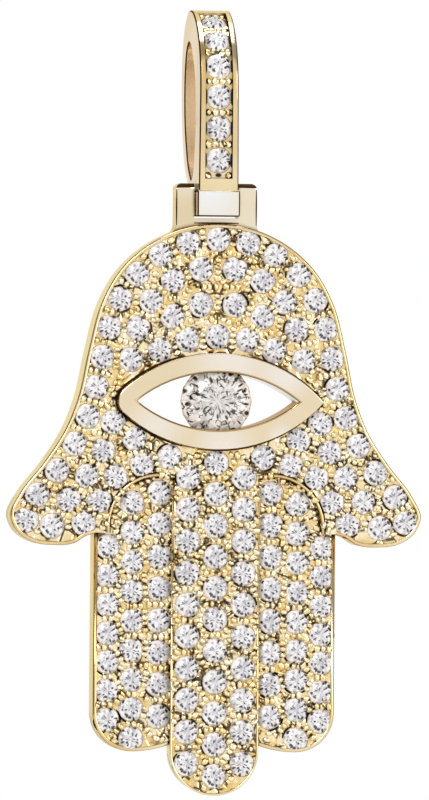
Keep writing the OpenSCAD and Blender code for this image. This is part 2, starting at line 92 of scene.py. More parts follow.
class Socket:
    """An output of a shader node that can be used in a Python expression."""

    def __init__(self, nodes: "Nodes", output: bpy.types.NodeSocket) -> None:
        """Wraps an output of one of the nodes."""
        self.nodes = nodes
        self.output = output

    def _math(self, operation: str, *values: Any) -> "Socket":
        """Output of a new Math node that is fed with sockets or numbers."""
        return self.nodes.node("ShaderNodeMath", {"operation": operation}, dict(enumerate(values)))

    def __add__(self, other: Any) -> "Socket":
        """Sum."""
        return self._math("ADD", self, other)

    def __mul__(self, other: Any) -> "Socket":
        """Product."""
        return self._math("MULTIPLY", self, other)

    def __sub__(self, other: Any) -> "Socket":
        """Difference."""
        return self._math("SUBTRACT", self, other)

    def __rsub__(self, other: Any) -> "Socket":
        """Difference from a number."""
        return self._math("SUBTRACT", other, self)

    def __truediv__(self, other: Any) -> "Socket":
        """Quotient."""
        return self._math("DIVIDE", self, other)

    def __pow__(self, other: Any) -> "Socket":
        """Power."""
        return self._math("POWER", self, other)

    def other(self, name: str) -> "Socket":
        """Another output of the same node."""
        return Socket(self.nodes, self.output.node.outputs[name])

    def angle_of(self, x: "Socket") -> "Socket":
        """Angle in radians of the point whose first part is x and whose second part this is."""
        return self._math("ARCTAN2", self, x)

    def above(self, level: float, soft: float) -> "Socket":
        """Smooth mask of where the value is over a level.

        Args:
            level: where the mask is one half.
            soft: half the width of the change.

        Returns:
            The mask, from 0 to 1.
        """
        return self.nodes.node("ShaderNodeMapRange", {"interpolation_type": "SMOOTHSTEP"},
                               {"Value": self, "From Min": level - soft, "From Max": level + soft})


class Nodes:
    """A node tree under construction."""

    def __init__(self, owner: bpy.types.Material | bpy.types.World) -> None:
        """Empties the node tree of a material or a world."""
        owner.use_nodes = True
        self.tree = owner.node_tree
        self.tree.nodes.clear()

    def node(self, kind: str, settings: dict[str, Any], values: dict[Any, Any], output: Any = 0) -> Socket:
        """Adds one node.

        Args:
            kind: the node's type.
            settings: its settings.
            values: sockets or constants for its inputs, by name or number.
            output: the name or number of the output that is wanted.

        Returns:
            That output.
        """
        made = self.tree.nodes.new(kind)
        for key, value in settings.items():
            setattr(made, key, value)
        for key, value in values.items():
            self.feed(made.inputs[key], value)
        return Socket(self, made.outputs[output])

    def feed(self, target: bpy.types.NodeSocket, value: Any) -> None:
        """Links a socket to an input, or sets the input's constant.

        Args:
            target: the input.
            value: a Socket, a number or a colour.
        """
        if isinstance(value, Socket):
            self.tree.links.new(value.output, target)
        elif isinstance(value, tuple) and len(value) == 3 and len(target.default_value) == 4:
            target.default_value = (*value, 1.0)
        else:
            target.default_value = value

    def end(self, kind: str, surface: Socket) -> None:
        """Adds an output node that shows the surface."""
        self.feed(self.tree.nodes.new(kind).inputs[0], surface)

    def mix(self, factor: Any, first: Any, second: Any, blend: str = "MIX") -> Socket:
        """Blends two colours or sockets, where a factor of 0 leaves the first."""
        return self.node("ShaderNodeMix", {"data_type": "RGBA", "blend_type": blend},
                         {0: factor, 6: first, 7: second}, 2)

    def parts(self, vector: Socket) -> list[Socket]:
        """The three parts of a vector."""
        first = self.node("ShaderNodeSeparateXYZ", {}, {0: vector})
        return [Socket(self, output) for output in first.output.node.outputs]

    def ramp(self, value: Socket, stops: Sequence[Span]) -> Socket:
        """Greys that ease from stop to stop.

        Args:
            value: the place on the ramp, from 0 to 1.
            stops: places and greys.

        Returns:
            The grey.
        """
        made = self.node("ShaderNodeValToRGB", {}, {0: value})
        ramp = made.output.node.color_ramp
        ramp.interpolation = "EASE"
        while len(ramp.elements) < len(stops):
            ramp.elements.new(0.5)
        for element, (place, grey) in zip(ramp.elements, stops):
            element.position = place
            element.color = (grey, grey, grey, 1.0)
        return made


class Shader(Nodes):
    """A procedural material under construction."""

    def __init__(self, name: str) -> None:
        """Makes a material with a Principled shader.

        Args:
            name: the material's name.
        """
        self.material = bpy.data.materials.new(name)
        super().__init__(self.material)
        surface = self.node("ShaderNodeBsdfPrincipled", {}, {})
        self.surface = surface.output.node
        self.end("ShaderNodeOutputMaterial", surface)

    def set(self, **values: Any) -> Material:
        """Feeds the Principled shader.

        Args:
            values: sockets or constants by input name, with underscores for spaces.

        Returns:
            The material.
        """
        for key, value in values.items():
            self.feed(self.surface.inputs[key.replace("_", " ")], value)
        return self.material

    def object_place(self) -> Socket:
        """Object coordinates, in metres."""
        return self.node("ShaderNodeTexCoord", {}, {}, "Object")

    def vector(self, *parts: Any) -> Socket:
        """A vector of three parts."""
        return self.node("ShaderNodeCombineXYZ", {}, dict(enumerate(parts)))

    def noise(self, size: float, detail: float = 2.0, where: Socket | None = None) -> Socket:
        """Noise of a given grain.

        Args:
            size: size of its lumps in metres.
            detail: octaves.
            where: coordinates, or None for Object coordinates.

        Returns:
            The noise, near 0.5.
        """
        values = {"Vector": where or self.object_place(), "Scale": 1.0 / size, "Detail": detail}
        return self.node("ShaderNodeTexNoise", {}, values, "Fac")

    def cells(self, where: Socket, output: str, spread: float = 0.8, size: float = 1.0) -> Socket:
        """Voronoi cells.

        Args:
            where: coordinates.
            output: "Distance" from the cell's point, its "Color", or "Edge" for the distance to
                the cell's border.
            spread: how far the points are moved off a square grid, from 0 to 1.
            size: size of the cells.

        Returns:
            The output.
        """
        edge = output == "Edge"
        return self.node("ShaderNodeTexVoronoi", {"feature": "DISTANCE_TO_EDGE" if edge else "F1"},
                         {"Vector": where, "Scale": 1.0 / size, "Randomness": spread},
                         "Distance" if edge else output)

    def open_air(self, reach: float) -> Socket:
        """How open a place is, from 1 to near 0, counting what lies within a reach in metres."""
        return self.node("ShaderNodeAmbientOcclusion", {"samples": 8}, {"Distance": reach}, "AO")

    def bump(self, height: Socket, depth: float, strength: float = 1.0) -> Socket:
        """Normal from a height.

        Args:
            height: the height, from 0 to 1.
            depth: depth in metres of a height of 1.
            strength: how much of it is used.

        Returns:
            The normal.
        """
        return self.node("ShaderNodeBump", {}, {"Strength": strength, "Distance": depth, "Height": height},
                         "Normal")


# ---------------------------------------------------------------- finishes


@dataclass(frozen=True)
class PolishedGold:
    """Mirror-polished yellow gold: pale where it is buffed, with painted shade in the corners and painted
    highlights where they are placed.
    """

    name: str = "polished_gold"
    colour: Colour = (0.74, 0.53, 0.23)
    pale: Colour = (0.86, 0.72, 0.46)
    corner_shade: Colour = (0.05, 0.028, 0.01)
    glaze: Colour = (1.0, 0.92, 0.60)
    buffing: float = 4.5 * MM
    reach: float = 0.5 * MM
    level: float = 0.52
    roughness: float = 0.12
    painted_highlights: tuple[Triple, ...] = ()
    # The fine scratches, and how much the haze and each painted highlight add to the pale share.
    SCRATCH_SIZE = 0.12 * MM
    SCRATCH_DEPTH = 0.002 * MM
    HAZE_SHARE = 0.4
    HIGHLIGHT_SHARE = 0.8

    def material(self) -> Material:
        """Builds the finish.

        Each painted highlight is a place across and up and a reach, in millimetres. It is full up to
        its middle, fades out at its reach, and adds to the others. Without them a soft noise
        is used. The corner colour is painted shade where little open air reaches.

        Returns:
            The material.
        """
        s = Shader(self.name)
        haze = s.noise(self.buffing, 1.0)
        scratch = s.noise(self.SCRATCH_SIZE, 3.0)
        pale = haze.above(0.5, 0.16)
        # Painted highlights: pale patches at given places.
        if self.painted_highlights:
            x, _, z = s.parts(s.object_place())
            pale = haze * self.HAZE_SHARE
            for across, up, reach in self.painted_highlights:
                far = ((x - across * MM) ** 2 + (z - up * MM) ** 2) ** 0.5
                half = 0.5 * reach * MM
                pale = pale + (1.0 - far.above(half, half)) * self.HIGHLIGHT_SHARE
        # Painted shade: the corner colour where little open air reaches.
        lit = s.open_air(self.reach).above(self.level, 0.2)
        return s.set(Base_Color=s.mix(lit, self.corner_shade, s.mix(pale, self.colour, self.pale)), Metallic=1.0,
                     Roughness=haze * 0.08 + self.roughness, Specular_Tint=self.glaze,
                     Normal=s.bump(scratch, self.SCRATCH_DEPTH, 0.5))


@dataclass(frozen=True)
class PaveGold:
    """Gold between the stones, cut round with a graver, with painted shade in the cuts and where little open
    air reaches.
    """

    name: str = "pave_gold_shaded"
    colour: Colour = (0.78, 0.55, 0.22)
    pale: Colour = (0.95, 0.82, 0.56)
    cut_shade: Colour = (0.045, 0.02, 0.006)
    glaze: Colour = (1.0, 0.92, 0.60)
    grain: float = 0.66 * MM
    reach: float = 0.26 * MM
    roughness: float = 0.18
    # Sizes of the pale patches and of those with cuts, and a cut's half width in cells and depth.
    TINT_SIZE = 0.8 * MM
    PATCH_SIZE = 0.7 * MM
    CUT_HALF = 0.075
    CUT_DEPTH = 0.05 * MM

    def material(self) -> Material:
        """Builds the finish.

        Cuts run along the borders of Voronoi cells where a noise is high and are given painted shade, and the
        metal also has painted shade where little open air reaches it.

        Returns:
            The material.
        """
        s = Shader(self.name)
        edge = s.cells(s.object_place(), "Edge", 1.0, self.grain)
        metal = s.mix(s.noise(self.TINT_SIZE).above(0.5, 0.2), self.colour, self.pale)
        # Painted shade in the graver's cuts, and on the next line where little open air reaches.
        groove_shade = (1.0 - edge.above(self.CUT_HALF, 0.03)) * s.noise(self.PATCH_SIZE, 1.0).above(0.53, 0.05)
        lit = s.open_air(self.reach).above(0.38, 0.18) * (1.0 - groove_shade * 0.9)
        return s.set(Base_Color=s.mix(lit, self.cut_shade, metal), Metallic=1.0, Roughness=self.roughness,
                     Specular_Tint=self.glaze, Normal=s.bump(edge.above(0.12, 0.12), self.CUT_DEPTH, 0.7))


@dataclass(frozen=True)
class Diamond:
    """A brilliant with its light painted on: bright facets, grey slivers of painted shade, short dark strokes
    of the pavilion seen through them as painted reflections, a rim of painted reflection and a painted glow.

    The table gives way to the crown at table_at, and the crown to the rim at rim_at, each a
    distance from the middle, 1 at the girdle, and half the width of the change. Stroke patterns
    hold the strokes in a turn, those from the middle to the girdle, and the share shown.
    """

    name: str = "pave_diamond"
    table: Colour = (0.76, 0.745, 0.745)
    crown: Colour = (0.86, 0.82, 0.79)
    shade: Colour = (0.38, 0.36, 0.40)
    dark: Colour = (0.03, 0.027, 0.027)
    rim: Colour = (0.84, 0.75, 0.58)
    table_at: Span = (0.58, 0.14)
    rim_at: Span = (0.93, 0.08)
    slivers: float = 20.0
    rings: float = 4.0
    shaded: float = 0.55
    outer: Triple = (17.0, 2.0, 0.74)
    inner: Triple = (9.0, 3.0, 0.50)
    line_cells: tuple[float, ...] = ()
    painted_glow: float = 0.10
    # Shares of the facet's painted glint and of the slivers in the painted shade, and of the rim's painted
    # reflection.
    GLINT_SHARE, TONE_SHARE = 0.4, 0.6
    RIM_SHARE = 0.8
    # Distances between the patterns of two stones and of the two kinds of stroke, and half widths.
    SPIN_STEP = 1.2
    PATTERN_STEP = 7.3
    STROKE_R = 0.32
    LINE_HALF = 0.06

    @classmethod
    def strokes(cls, s: Shader, turn: Socket, radius: Socket, seed: Socket, pattern: Triple) -> Socket:
        """Strokes that point at the middle, round points scattered over the turn and the radius.

        Args:
            s: the shader.
            turn: turns round the middle.
            radius: distance from the middle, 1 at the girdle.
            seed: a number that differs from stone to stone.
            pattern: the stroke pattern.

        Returns:
            The mask of the strokes.
        """
        around, out, share = pattern
        near = s.cells(s.vector(turn * around, radius * out, seed), "Distance")
        chance = s.parts(near.other("Color"))[0]
        return (1.0 - near.above(cls.STROKE_R, 0.08)) * chance.above(1.0 - share, 0.02)

    @classmethod
    def lines(cls, s: Shader, x: Socket, y: Socket, seed: Socket, cells: float) -> Socket:
        """Thin broken lines along the borders of a Voronoi pattern.

        Args:
            s: the shader.
            x: first coordinate, one unit across the stone.
            y: second coordinate.
            seed: a number that differs from stone to stone.
            cells: cells across the stone.

        Returns:
            The mask of the lines.
        """
        where = s.vector(x * cells, y * cells, seed + cells)
        border = s.cells(where, "Edge", 1.0)
        return (1.0 - border.above(cls.LINE_HALF, 0.035)) * s.noise(1.1, 1.0, where).above(0.57, 0.03)

    def material(self) -> Material:
        """Builds the finish in the stone's own coordinates.

        Grey slivers of painted shade are Voronoi cells of the turn and the radius. Two patterns of dark
        strokes, painted reflections, lie over them, and a large stone also has broken lines. The crown glows
        in its own colour as painted light.

        Returns:
            The material.
        """
        s = Shader(self.name)
        glint, spin = (s.node("ShaderNodeAttribute", {"attribute_name": name}, {}, "Fac")
                       for name in ("glint", "spin"))
        x, y = (part - 0.5 for part in s.parts(s.node("ShaderNodeUVMap", {"uv_map": "stone"}, {}))[:2])
        radius = (x * x + y * y) ** 0.5 * 2.0
        turn = y.angle_of(x) / (2 * math.pi)
        seed = spin * self.SPIN_STEP
        cells = s.cells(s.vector(turn * self.slivers, radius * self.rings, seed), "Color")
        tone = s.parts(cells)[1].above(self.shaded, 0.12)
        in_crown = radius.above(*self.table_at)
        bright = s.mix(in_crown, self.table, self.crown)
        body = s.mix(glint * self.GLINT_SHARE + tone * self.TONE_SHARE, bright, self.shade)
        body = s.mix(radius.above(*self.rim_at) * self.RIM_SHARE, body, self.rim)
        dark = self.strokes(s, turn, radius, seed, self.outer) * radius.above(0.08, 0.05)
        second = self.strokes(s, turn, radius, seed + self.PATTERN_STEP, self.inner)
        dark = dark + second * radius.above(0.14, 0.05)
        for number in self.line_cells:
            dark = dark + self.lines(s, x, y, seed, number) * radius.above(0.24, 0.10)
        body = s.mix(dark, body, self.dark)
        # Painted glow: the crown's colour given off as light.
        return s.set(Base_Color=body, Emission_Color=s.mix(in_crown, (0.0, 0.0, 0.0), body),
                     Emission_Strength=self.painted_glow, Metallic=0.0, Roughness=0.04, IOR=1.8)


# ---------------------------------------------------------------- meshes


def add_object(name: str, data: Any) -> Piece:
    """Puts an object into the scene.

    Args:
        name: its name.
        data: the mesh, camera or light that it shows.

    Returns:
        The object.
    """
    made = bpy.data.objects.new(name, data)
    bpy.context.scene.collection.objects.link(made)
    return made


def add_mesh(name: str, verts: Array, faces: Sequence[Sequence[int]], smooth: bool = True) -> Piece:
    """Makes a mesh object at the origin.

    Args:
        name: the piece's name.
        verts: corners in millimetres, their three parts on the last axis.
        faces: corner numbers of each face.
        smooth: whether it is smooth shaded.

    Returns:
        The object.
    """
    mesh = bpy.data.meshes.new(name)
    rows = (np.asarray(verts, float).reshape(-1, 3) * MM).tolist()
    mesh.from_pydata(rows, [], [list(map(int, f)) for f in faces])
    mesh.polygons.foreach_set("use_smooth", np.full(len(mesh.polygons), smooth))
    mesh.update()
    return add_object(name, mesh)


def read(items: Any, key: str, parts: int = 1, kind: type = float) -> Array:
    """Reads a property of all of a mesh's elements.

    Args:
        items: the elements.
        key: the property.
        parts: how many numbers it has.
        kind: their type.

    Returns:
        The numbers, with one row an element where there is more than one.
    """
    flat = np.empty(len(items) * parts, kind)
    items.foreach_get(key, flat)
    return flat.reshape(-1, parts) if parts > 1 else flat


def write(mesh: bpy.types.Mesh, name: str, domain: str, values: Array) -> None:
    """Gives all elements of one kind a new attribute, a flag where the values are flags."""
    kind = "BOOLEAN" if values.dtype == bool else "FLOAT"
    mesh.attributes.new(name, kind, domain).data.foreach_set("value", values)


def put_on(piece: Piece, body: Body, material: Material) -> Piece:
    """Rides a piece on a body and gives it its finish.

    Args:
        piece: the object.
        body: the body that it moves with.
        material: its material.

    Returns:
        The piece.
    """
    piece.data.materials.clear()
    piece.data.materials.append(material)
    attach(piece, body.value)
    LOG.info("%s: %d faces on %s", piece.name, len(piece.data.polygons), body.value)
    return piece


def ring(turn: Array, radius: float, height: float) -> Array:
    """Points of a level circle at some angles in radians."""
    return np.stack([radius * np.cos(turn), radius * np.sin(turn), np.full(len(turn), height)], axis=1)


def tube(rows: int, cols: int) -> Array:
    """Corner numbers of the quads between closed rings.

    Args:
        rows: number of rings.
        cols: corners of each.

    Returns:
        The quads, ring by ring.
    """
    r, c = np.meshgrid(np.arange(rows - 1), np.arange(cols), indexing="ij")
    a, b = r * cols + c, r * cols + (c + 1) % cols
    return np.stack([a, b, b + cols, a + cols], axis=-1).reshape(-1, 4)


def scatter(name: str, corners: Array, faces: Sequence[Sequence[int]], centre: Array, basis: Array,
            smooth: bool = True) -> Piece:
    """Makes copies of a shape as one piece.

    A corner of a copy is its centre plus the shape's corner's three parts times the copy's three
    directions.

    Args:
        name: the piece's name.
        corners: the shape's corners.
        faces: its faces.
        centre: each copy's centre.
        basis: each copy's three directions, as long as its sizes.
        smooth: whether it is smooth shaded.

    Returns:
        The piece.
    """
    verts = centre[:, None] + np.einsum("ck,nkj->ncj", corners, basis)
    many = [[c + n * len(corners) for c in face] for n in range(len(centre)) for face in faces]
    return add_mesh(name, verts, many, smooth)


# ---------------------------------------------------------------- stones and castings


# Depth of a stone's culet as a share of its width.
CULET_DEPTH = 0.46


@dataclass
class Settings:
    """Where the stones of a field sit, in millimetres."""

    centre: Array
    across: Array
    along: Array
    out: Array
    width: Array

    @classmethod
    def of_node(cls, solid: Piece, corners: int = 25) -> "Settings":
        """Reads the settings from a field of cut stones.

        The triangles are gathered into stones by spreading the lowest corner number over what
        they join. A stone's corners vary least along its axis, and its culet is the corner that
        lies furthest from their middle along it.

        Args:
            solid: the CAD node.
            corners: corners of one stone.

        Returns:
            The settings, one row a stone.
        """
        raw = np.round(read(solid.data.vertices, "co", 3) / MM, 4)
        points, which = np.unique(raw, axis=0, return_inverse=True)
        tris = which.ravel()[read(solid.data.loops, "vertex_index", kind=int)].reshape(-1, 3)
        label, new = None, np.arange(len(points))
        while not np.array_equal(new, label):
            label = new
            new = label.copy()
            np.minimum.at(new, tris.ravel(), np.repeat(label[tris].min(axis=1), 3))
        stones = points[np.argsort(label, kind="stable")].reshape(-1, corners, 3)
        middle = stones.mean(axis=1)
        spread = stones - middle[:, None]
        _, axes = np.linalg.eigh(np.einsum("nij,nik->njk", spread, spread))
        axis = axes[:, :, 0]
        height = np.einsum("nij,nj->ni", spread, axis)
        far = np.take_along_axis(height, np.abs(height).argmax(axis=1)[:, None], axis=1)
        out = -axis * np.sign(far)
        flat = spread - height[:, :, None] * axis[:, None]
        width = 2 * np.linalg.norm(flat, axis=2).max(axis=1)
        culet = middle - out * np.abs(far)
        across = np.tile([1.0, 0.0, 0.0], (len(out), 1))
        return cls(culet + out * CULET_DEPTH * width[:, None], across, np.cross(out, across), out, width)


class Brilliant:
    """A round brilliant of 57 facets and a girdle, one unit across.

    Heights are along the axis from the girdle's upper edge. Rings of corners: the table, the
    star points between its corners, both edges of the girdle, the lower star points, the culet.
    """

    TABLE, STAR, UPPER, LOWER, DEEP, CULET = 0, 8, 16, 32, 48, 56

    def __init__(self) -> None:
        """Works out the corners and faces once."""
        ring8 = np.radians(22.5 + 45 * np.arange(8))
        half8 = ring8 + np.radians(22.5)
        ring16 = np.radians(22.5 + 22.5 * np.arange(16))
        rings = [(ring8, 0.28, 0.16), (half8, 0.392, 0.093), (ring16, 0.5, 0.0),
                 (ring16, 0.5, -0.03), (half8, 0.115, -0.372)]
        self.corners = np.vstack([ring(*row) for row in rings] + [[0.0, 0.0, -CULET_DEPTH]])
        k, j = np.arange(8), np.arange(16)
        after, before, j_after = (k + 1) % 8, (k - 1) % 8, (j + 1) % 16
        g0, g1, g2 = 2 * k, 2 * k + 1, (2 * k + 2) % 16
        t, s, u, lo, d = self.TABLE, self.STAR, self.UPPER, self.LOWER, self.DEEP
        groups = [(t + k, s + k, t + after),
                  (t + k, s + before, u + g0, s + k),
                  (s + k, u + g0, u + g1),
                  (s + k, u + g1, u + g2),
                  (u + j, lo + j, lo + j_after, u + j_after),
                  (lo + g0, d + k, lo + g1),
                  (lo + g1, d + k, lo + g2),
                  (lo + g0, d + before, np.full(8, self.CULET), d + k)]
        self.faces = [list(range(8))]
        for group in groups:
            self.faces += np.stack(group, axis=1).tolist()

    def field(self, name: str, settings: Settings, seed: int, swell: float) -> Piece:
        """Makes a field of stones.

        Args:
            name: the piece's name.
            settings: where the stones sit.
            seed: seed of the facets' random brightness, their painted glints.
            swell: the round girdle's width as a share of the eight-sided one's.

        Returns:
            The piece, with "glint" and "spin" values on its faces and each corner's place across
            its stone as the UV map "stone".
        """
        basis = np.stack([settings.across, settings.along, settings.out], axis=1)
        basis = basis * (settings.width * swell)[:, None, None]
        piece = scatter(name, self.corners, self.faces, settings.centre, basis, smooth=False)
        count, mesh = len(settings.centre), piece.data
        rng = np.random.default_rng(seed)
        write(mesh, "glint", "FACE", rng.random(len(mesh.polygons)).astype(np.float32))
        layer = mesh.uv_layers.new(name="stone")
        flat = np.tile(self.corners[:, :2], (count, 1))[read(mesh.loops, "vertex_index", kind=int)] + 0.5
        layer.data.foreach_set("uv", flat.ravel())
        write(mesh, "spin", "FACE", np.repeat(rng.random(count), len(self.faces)).astype(np.float32))
        return piece


@dataclass(frozen=True)
class Parts:
    """Normals and middles of a casting's faces, part by part, the middles in millimetres."""

    nx: Array
    ny: Array
    nz: Array
    x: Array
    y: Array
    z: Array


Pick = Callable[[Parts], Array]


@dataclass
class Casting:
    """A gold casting: a softened copy of its solid, with edges rounded to a radius in millimetres."""

    node: str
    body: Body
    slot: Slot
    edge: float = 0.05
    steps: int = 2
    merge_angle: float = 0.6
    sharp_angle: float = 35.0
    clamp: bool = True

    def build(self, solid: Piece, material: Material, pick: Callable[[Array], Array] | None = None) -> Piece:
        """Copies the solid, merges its triangles and rounds its sharp edges.

        Args:
            solid: the CAD node.
            material: the finish.
            pick: takes the edges' middles in millimetres and gives a mask of those to round, or
                None for all.

        Returns:
            The piece.
        """
        mesh = solid.data.copy()
        mesh.name = self.node + "_cast"
        b = bmesh.new()
        b.from_mesh(mesh)
        bmesh.ops.remove_doubles(b, verts=b.verts, dist=1e-7)
        bmesh.ops.dissolve_limit(b, angle_limit=math.radians(self.merge_angle), verts=b.verts, edges=b.edges)
        sharp = np.array([e.calc_face_angle(0.0) for e in b.edges]) > math.radians(self.sharp_angle)
        ends = np.array([[v.co[:] for v in e.verts] for e in b.edges])
        b.to_mesh(mesh)
        b.free()
        chosen = pick(ends.mean(axis=1) / MM) if pick else np.full(len(sharp), True)
        write(mesh, "bevel_weight_edge", "EDGE", (sharp & chosen).astype(np.float32))
        write(mesh, "sharp_edge", "EDGE", sharp & ~chosen)
        mesh.polygons.foreach_set("use_smooth", np.full(len(mesh.polygons), True))
        piece = add_object(mesh.name, mesh)
        bevel = piece.modifiers.new("edge", "BEVEL")
        bevel.width = self.edge * MM
        bevel.segments = self.steps
        bevel.limit_method = "WEIGHT"
        bevel.use_clamp_overlap = self.clamp
        normals = piece.modifiers.new("faces", "WEIGHTED_NORMAL")
        normals.keep_sharp = True
        normals.weight = 80
        shown = piece.evaluated_get(bpy.context.evaluated_depsgraph_get())
        baked = bpy.data.meshes.new_from_object(shown)
        piece.modifiers.clear()
        piece.data = baked
        put_on(piece, self.body, material)
        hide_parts(self.node)
        return piece

    @staticmethod
    def finish_faces(piece: Piece, rows: Sequence[tuple[Material, Pick]]) -> None:
        """Gives some faces finishes of their own; where two rows pick a face, the later one counts.

        Args:
            piece: the casting.
            rows: finishes, each with what takes the faces' parts and gives a mask.
        """
        mesh = piece.data
        parts = Parts(*read(mesh.polygons, "normal", 3).T, *read(mesh.polygons, "center", 3).T / MM)
        index = read(mesh.polygons, "material_index", kind=np.int32)
        for material, pick in rows:
            mesh.materials.append(material)
            index[pick(parts)] = len(mesh.materials) - 1
        mesh.polygons.foreach_set("material_index", index)


# ---------------------------------------------------------------- outline, rims and grains


def smooth_curve(points: Array, before: Array, after: Array, steps: int) -> Array:
    """Smooth curve through points in the plane.

    Between two points it is the cubic whose tangents at its ends are the two chords' directions,
    each weighted by the other chord's length.

    Args:
        points: the points, one row each.
        before: the point before the first.
        after: the point after the last.
        steps: steps from each point to the next.

    Returns:
        Points of the curve.
    """
    p = np.vstack([before, points, after])
    chord = np.diff(p, axis=0)
    length = np.linalg.norm(chord, axis=1, keepdims=True)
    unit = chord / length
    tangent = (unit[:-1] * length[1:] + unit[1:] * length[:-1]) / (length[:-1] + length[1:])
    t = (np.arange(steps) / steps)[None, :, None]
    a, b = points[:-1, None], points[1:, None]
    m = (tangent[:-1] * length[1:-1])[:, None]
    n = (tangent[1:] * length[1:-1])[:, None]
    between = ((2 * t**3 - 3 * t**2 + 1) * a + (t**3 - 2 * t**2 + t) * m
               + (3 * t**2 - 2 * t**3) * b + (t**3 - t**2) * n)
    return np.vstack([between.reshape(-1, 2), points[-1:]])


def arc(centre: Sequence[float], radius: float, start: float, end: float, steps: int) -> Array:
    """Points on an arc.

    Args:
        centre: its centre.
        radius: its radius.
        start: angle of its first point in degrees.
        end: angle of its last point.
        steps: number of steps.

    Returns:
        The points, one row each.
    """
    turn = np.radians(np.linspace(start, end, steps + 1))
    return np.stack([centre[0] + radius * np.cos(turn), centre[1] + radius * np.sin(turn)], axis=1)


# Edge of the palm as shares of its height down from the crown and of half its width.
PALM_EDGE = np.array([
    [0.000, 0.000], [0.024, 0.210], [0.078, 0.365], [0.148, 0.477], [0.248, 0.564], [0.397, 0.626],
    [0.547, 0.677], [0.646, 0.738], [0.746, 0.838], [0.846, 0.958], [0.908, 1.000], [0.956, 0.970],
    [0.995, 0.872], [1.000, 0.800], [0.994, 0.693], [0.970, 0.629]])


@dataclass
class HandOutline:
    """Outlines of the right half of the hand, in millimetres across and up."""

    crown_z: float = -9.54
    hand_h: float = 29.6
    palm_h: float = 16.7
    half_span: float = 10.75
    notch_share: float = 0.962
    middle_w: float = 4.4
    outer_w: float = 4.1
    outer_short: float = 2.2
    outer_tip_r: float = 2.0
    notch_rise: float = 0.40
    shoulder_drop: float = 13.1
    shoulder_r: float = 2.6
    shoulder_in: float = 0.3

    @property
    def finger_half(self) -> float:
        """Half the width over the three fingers."""
        return self.middle_w / 2 + self.outer_w

    @property
    def tip_z(self) -> float:
        """Height of the middle fingertip."""
        return self.crown_z - self.hand_h

    @property
    def notch_z(self) -> float:
        """Height at which the palm's edge meets the outer finger."""
        return self.crown_z - self.notch_share * self.palm_h

    @property
    def shoulder(self) -> Span:
        """Centre of the arch at the top of the outer finger."""
        return (self.middle_w / 2 + self.shoulder_in * self.shoulder_r,
                self.crown_z - self.shoulder_drop - self.shoulder_r)

    def palm(self) -> Array:
        """Edge of the palm from the crown round the thumb to the outer finger."""
        across, up = PALM_EDGE[:, 1] * self.half_span, self.crown_z - PALM_EDGE[:, 0] * self.palm_h
        rows = np.vstack([np.stack([across, up], axis=1), [self.finger_half, self.notch_z]])
        return smooth_curve(rows, rows[1] * [-1, 1], 2 * rows[-1] - rows[-2], 8)

    def outer_finger(self) -> Array:
        """Edge of the outer finger, from the palm down and round its tip to the middle finger."""
        inner, low_x = self.middle_w / 2, self.finger_half - self.outer_tip_r
        low = self.tip_z + self.outer_short
        chord = 2 * (low_x - inner)
        shallow = (chord**2 / 4 + self.notch_rise**2) / (2 * self.notch_rise)
        end = -90 - math.degrees(math.asin((low_x - inner) / shallow))
        return np.vstack([[[self.finger_half, self.notch_z]],
                          arc((low_x, low + self.outer_tip_r), self.outer_tip_r, 0, -90, 12),
                          arc((low_x, low + shallow), shallow, -90, end, 10)[1:]])

    def middle_finger(self) -> Array:
        """Edge of the middle finger from its arch to the middle of its tip."""
        r = self.middle_w / 2
        arch = self.crown_z - self.shoulder_drop - self.shoulder_in * self.shoulder_r
        return np.vstack([[[r, arch]], arc((0, self.tip_z + r), r, 0, -90, 14)])

    def arch(self, grow: float = 0.0) -> Array:
        """Edge of the step at the top of the outer finger, from the middle finger outwards.

        Args:
            grow: how far outside the edge the curve runs.

        Returns:
            The curve.
        """
        start = math.degrees(math.acos(-self.shoulder_in))
        curve = arc(self.shoulder, self.shoulder_r + grow, start, 0, 18)
        return np.vstack([curve, [[self.shoulder[0] + self.shoulder_r + grow, self.notch_z]]])

    def lowered(self, points: Array) -> Array:
        """Which points lie on the outer fingers' lower face.

        Args:
            points: the points, one row of across and up each.

        Returns:
            A mask.
        """
        x, z = np.abs(points[:, 0]), points[:, 1]
        (middle, top), r = self.shoulder, self.shoulder_r
        under_arch = np.where(z > top, np.hypot(x - middle, z - top) < r, x < middle + r)
        return (x > self.middle_w / 2) & (under_arch | (z < self.notch_z))

    def loop(self) -> Array:
        """The whole hand's closed outline."""
        return both_halves(np.vstack([self.palm(), self.outer_finger()[1:], self.middle_finger()[1:]])[::-1])


def inside(points: Array, loop: Array) -> Array:
    """Which points lie inside a closed loop, by counting the edges to the right of each.

    Args:
        points: the points, one row each.
        loop: the loop's corners.

    Returns:
        A mask.
    """
    x, z = points[:, :1], points[:, 1:]
    a, b = loop, np.roll(loop, -1, axis=0)
    spans = (a[:, 1] > z) != (b[:, 1] > z)
    with np.errstate(divide="ignore", invalid="ignore"):
        cross = a[:, 0] + (z - a[:, 1]) / (b[:, 1] - a[:, 1]) * (b[:, 0] - a[:, 0])
    return (spans & (cross > x)).sum(axis=1) % 2 == 1


def both_halves(path: Array) -> Array:
    """Joins a path that starts on the middle line to its mirror image."""
    return np.vstack([(path * [-1, 1])[:0:-1], path])


def unit_rows(rows: Array) -> Array:
    """Vectors along the last axis, brought to length 1."""
    return rows / np.linalg.norm(rows, axis=-1, keepdims=True)


def evenly(path: Array, count: int) -> Array:
    """Points at even distances along a path.

    Args:
        path: the path.
        count: the number of points.

    Returns:
        The points.
    """
    mark = np.concatenate([[0], np.cumsum(np.linalg.norm(np.diff(path, axis=0), axis=1))])
    at = np.linspace(0, mark[-1], count)
    return np.stack([np.interp(at, mark, path[:, 0]), np.interp(at, mark, path[:, 1])], axis=1)


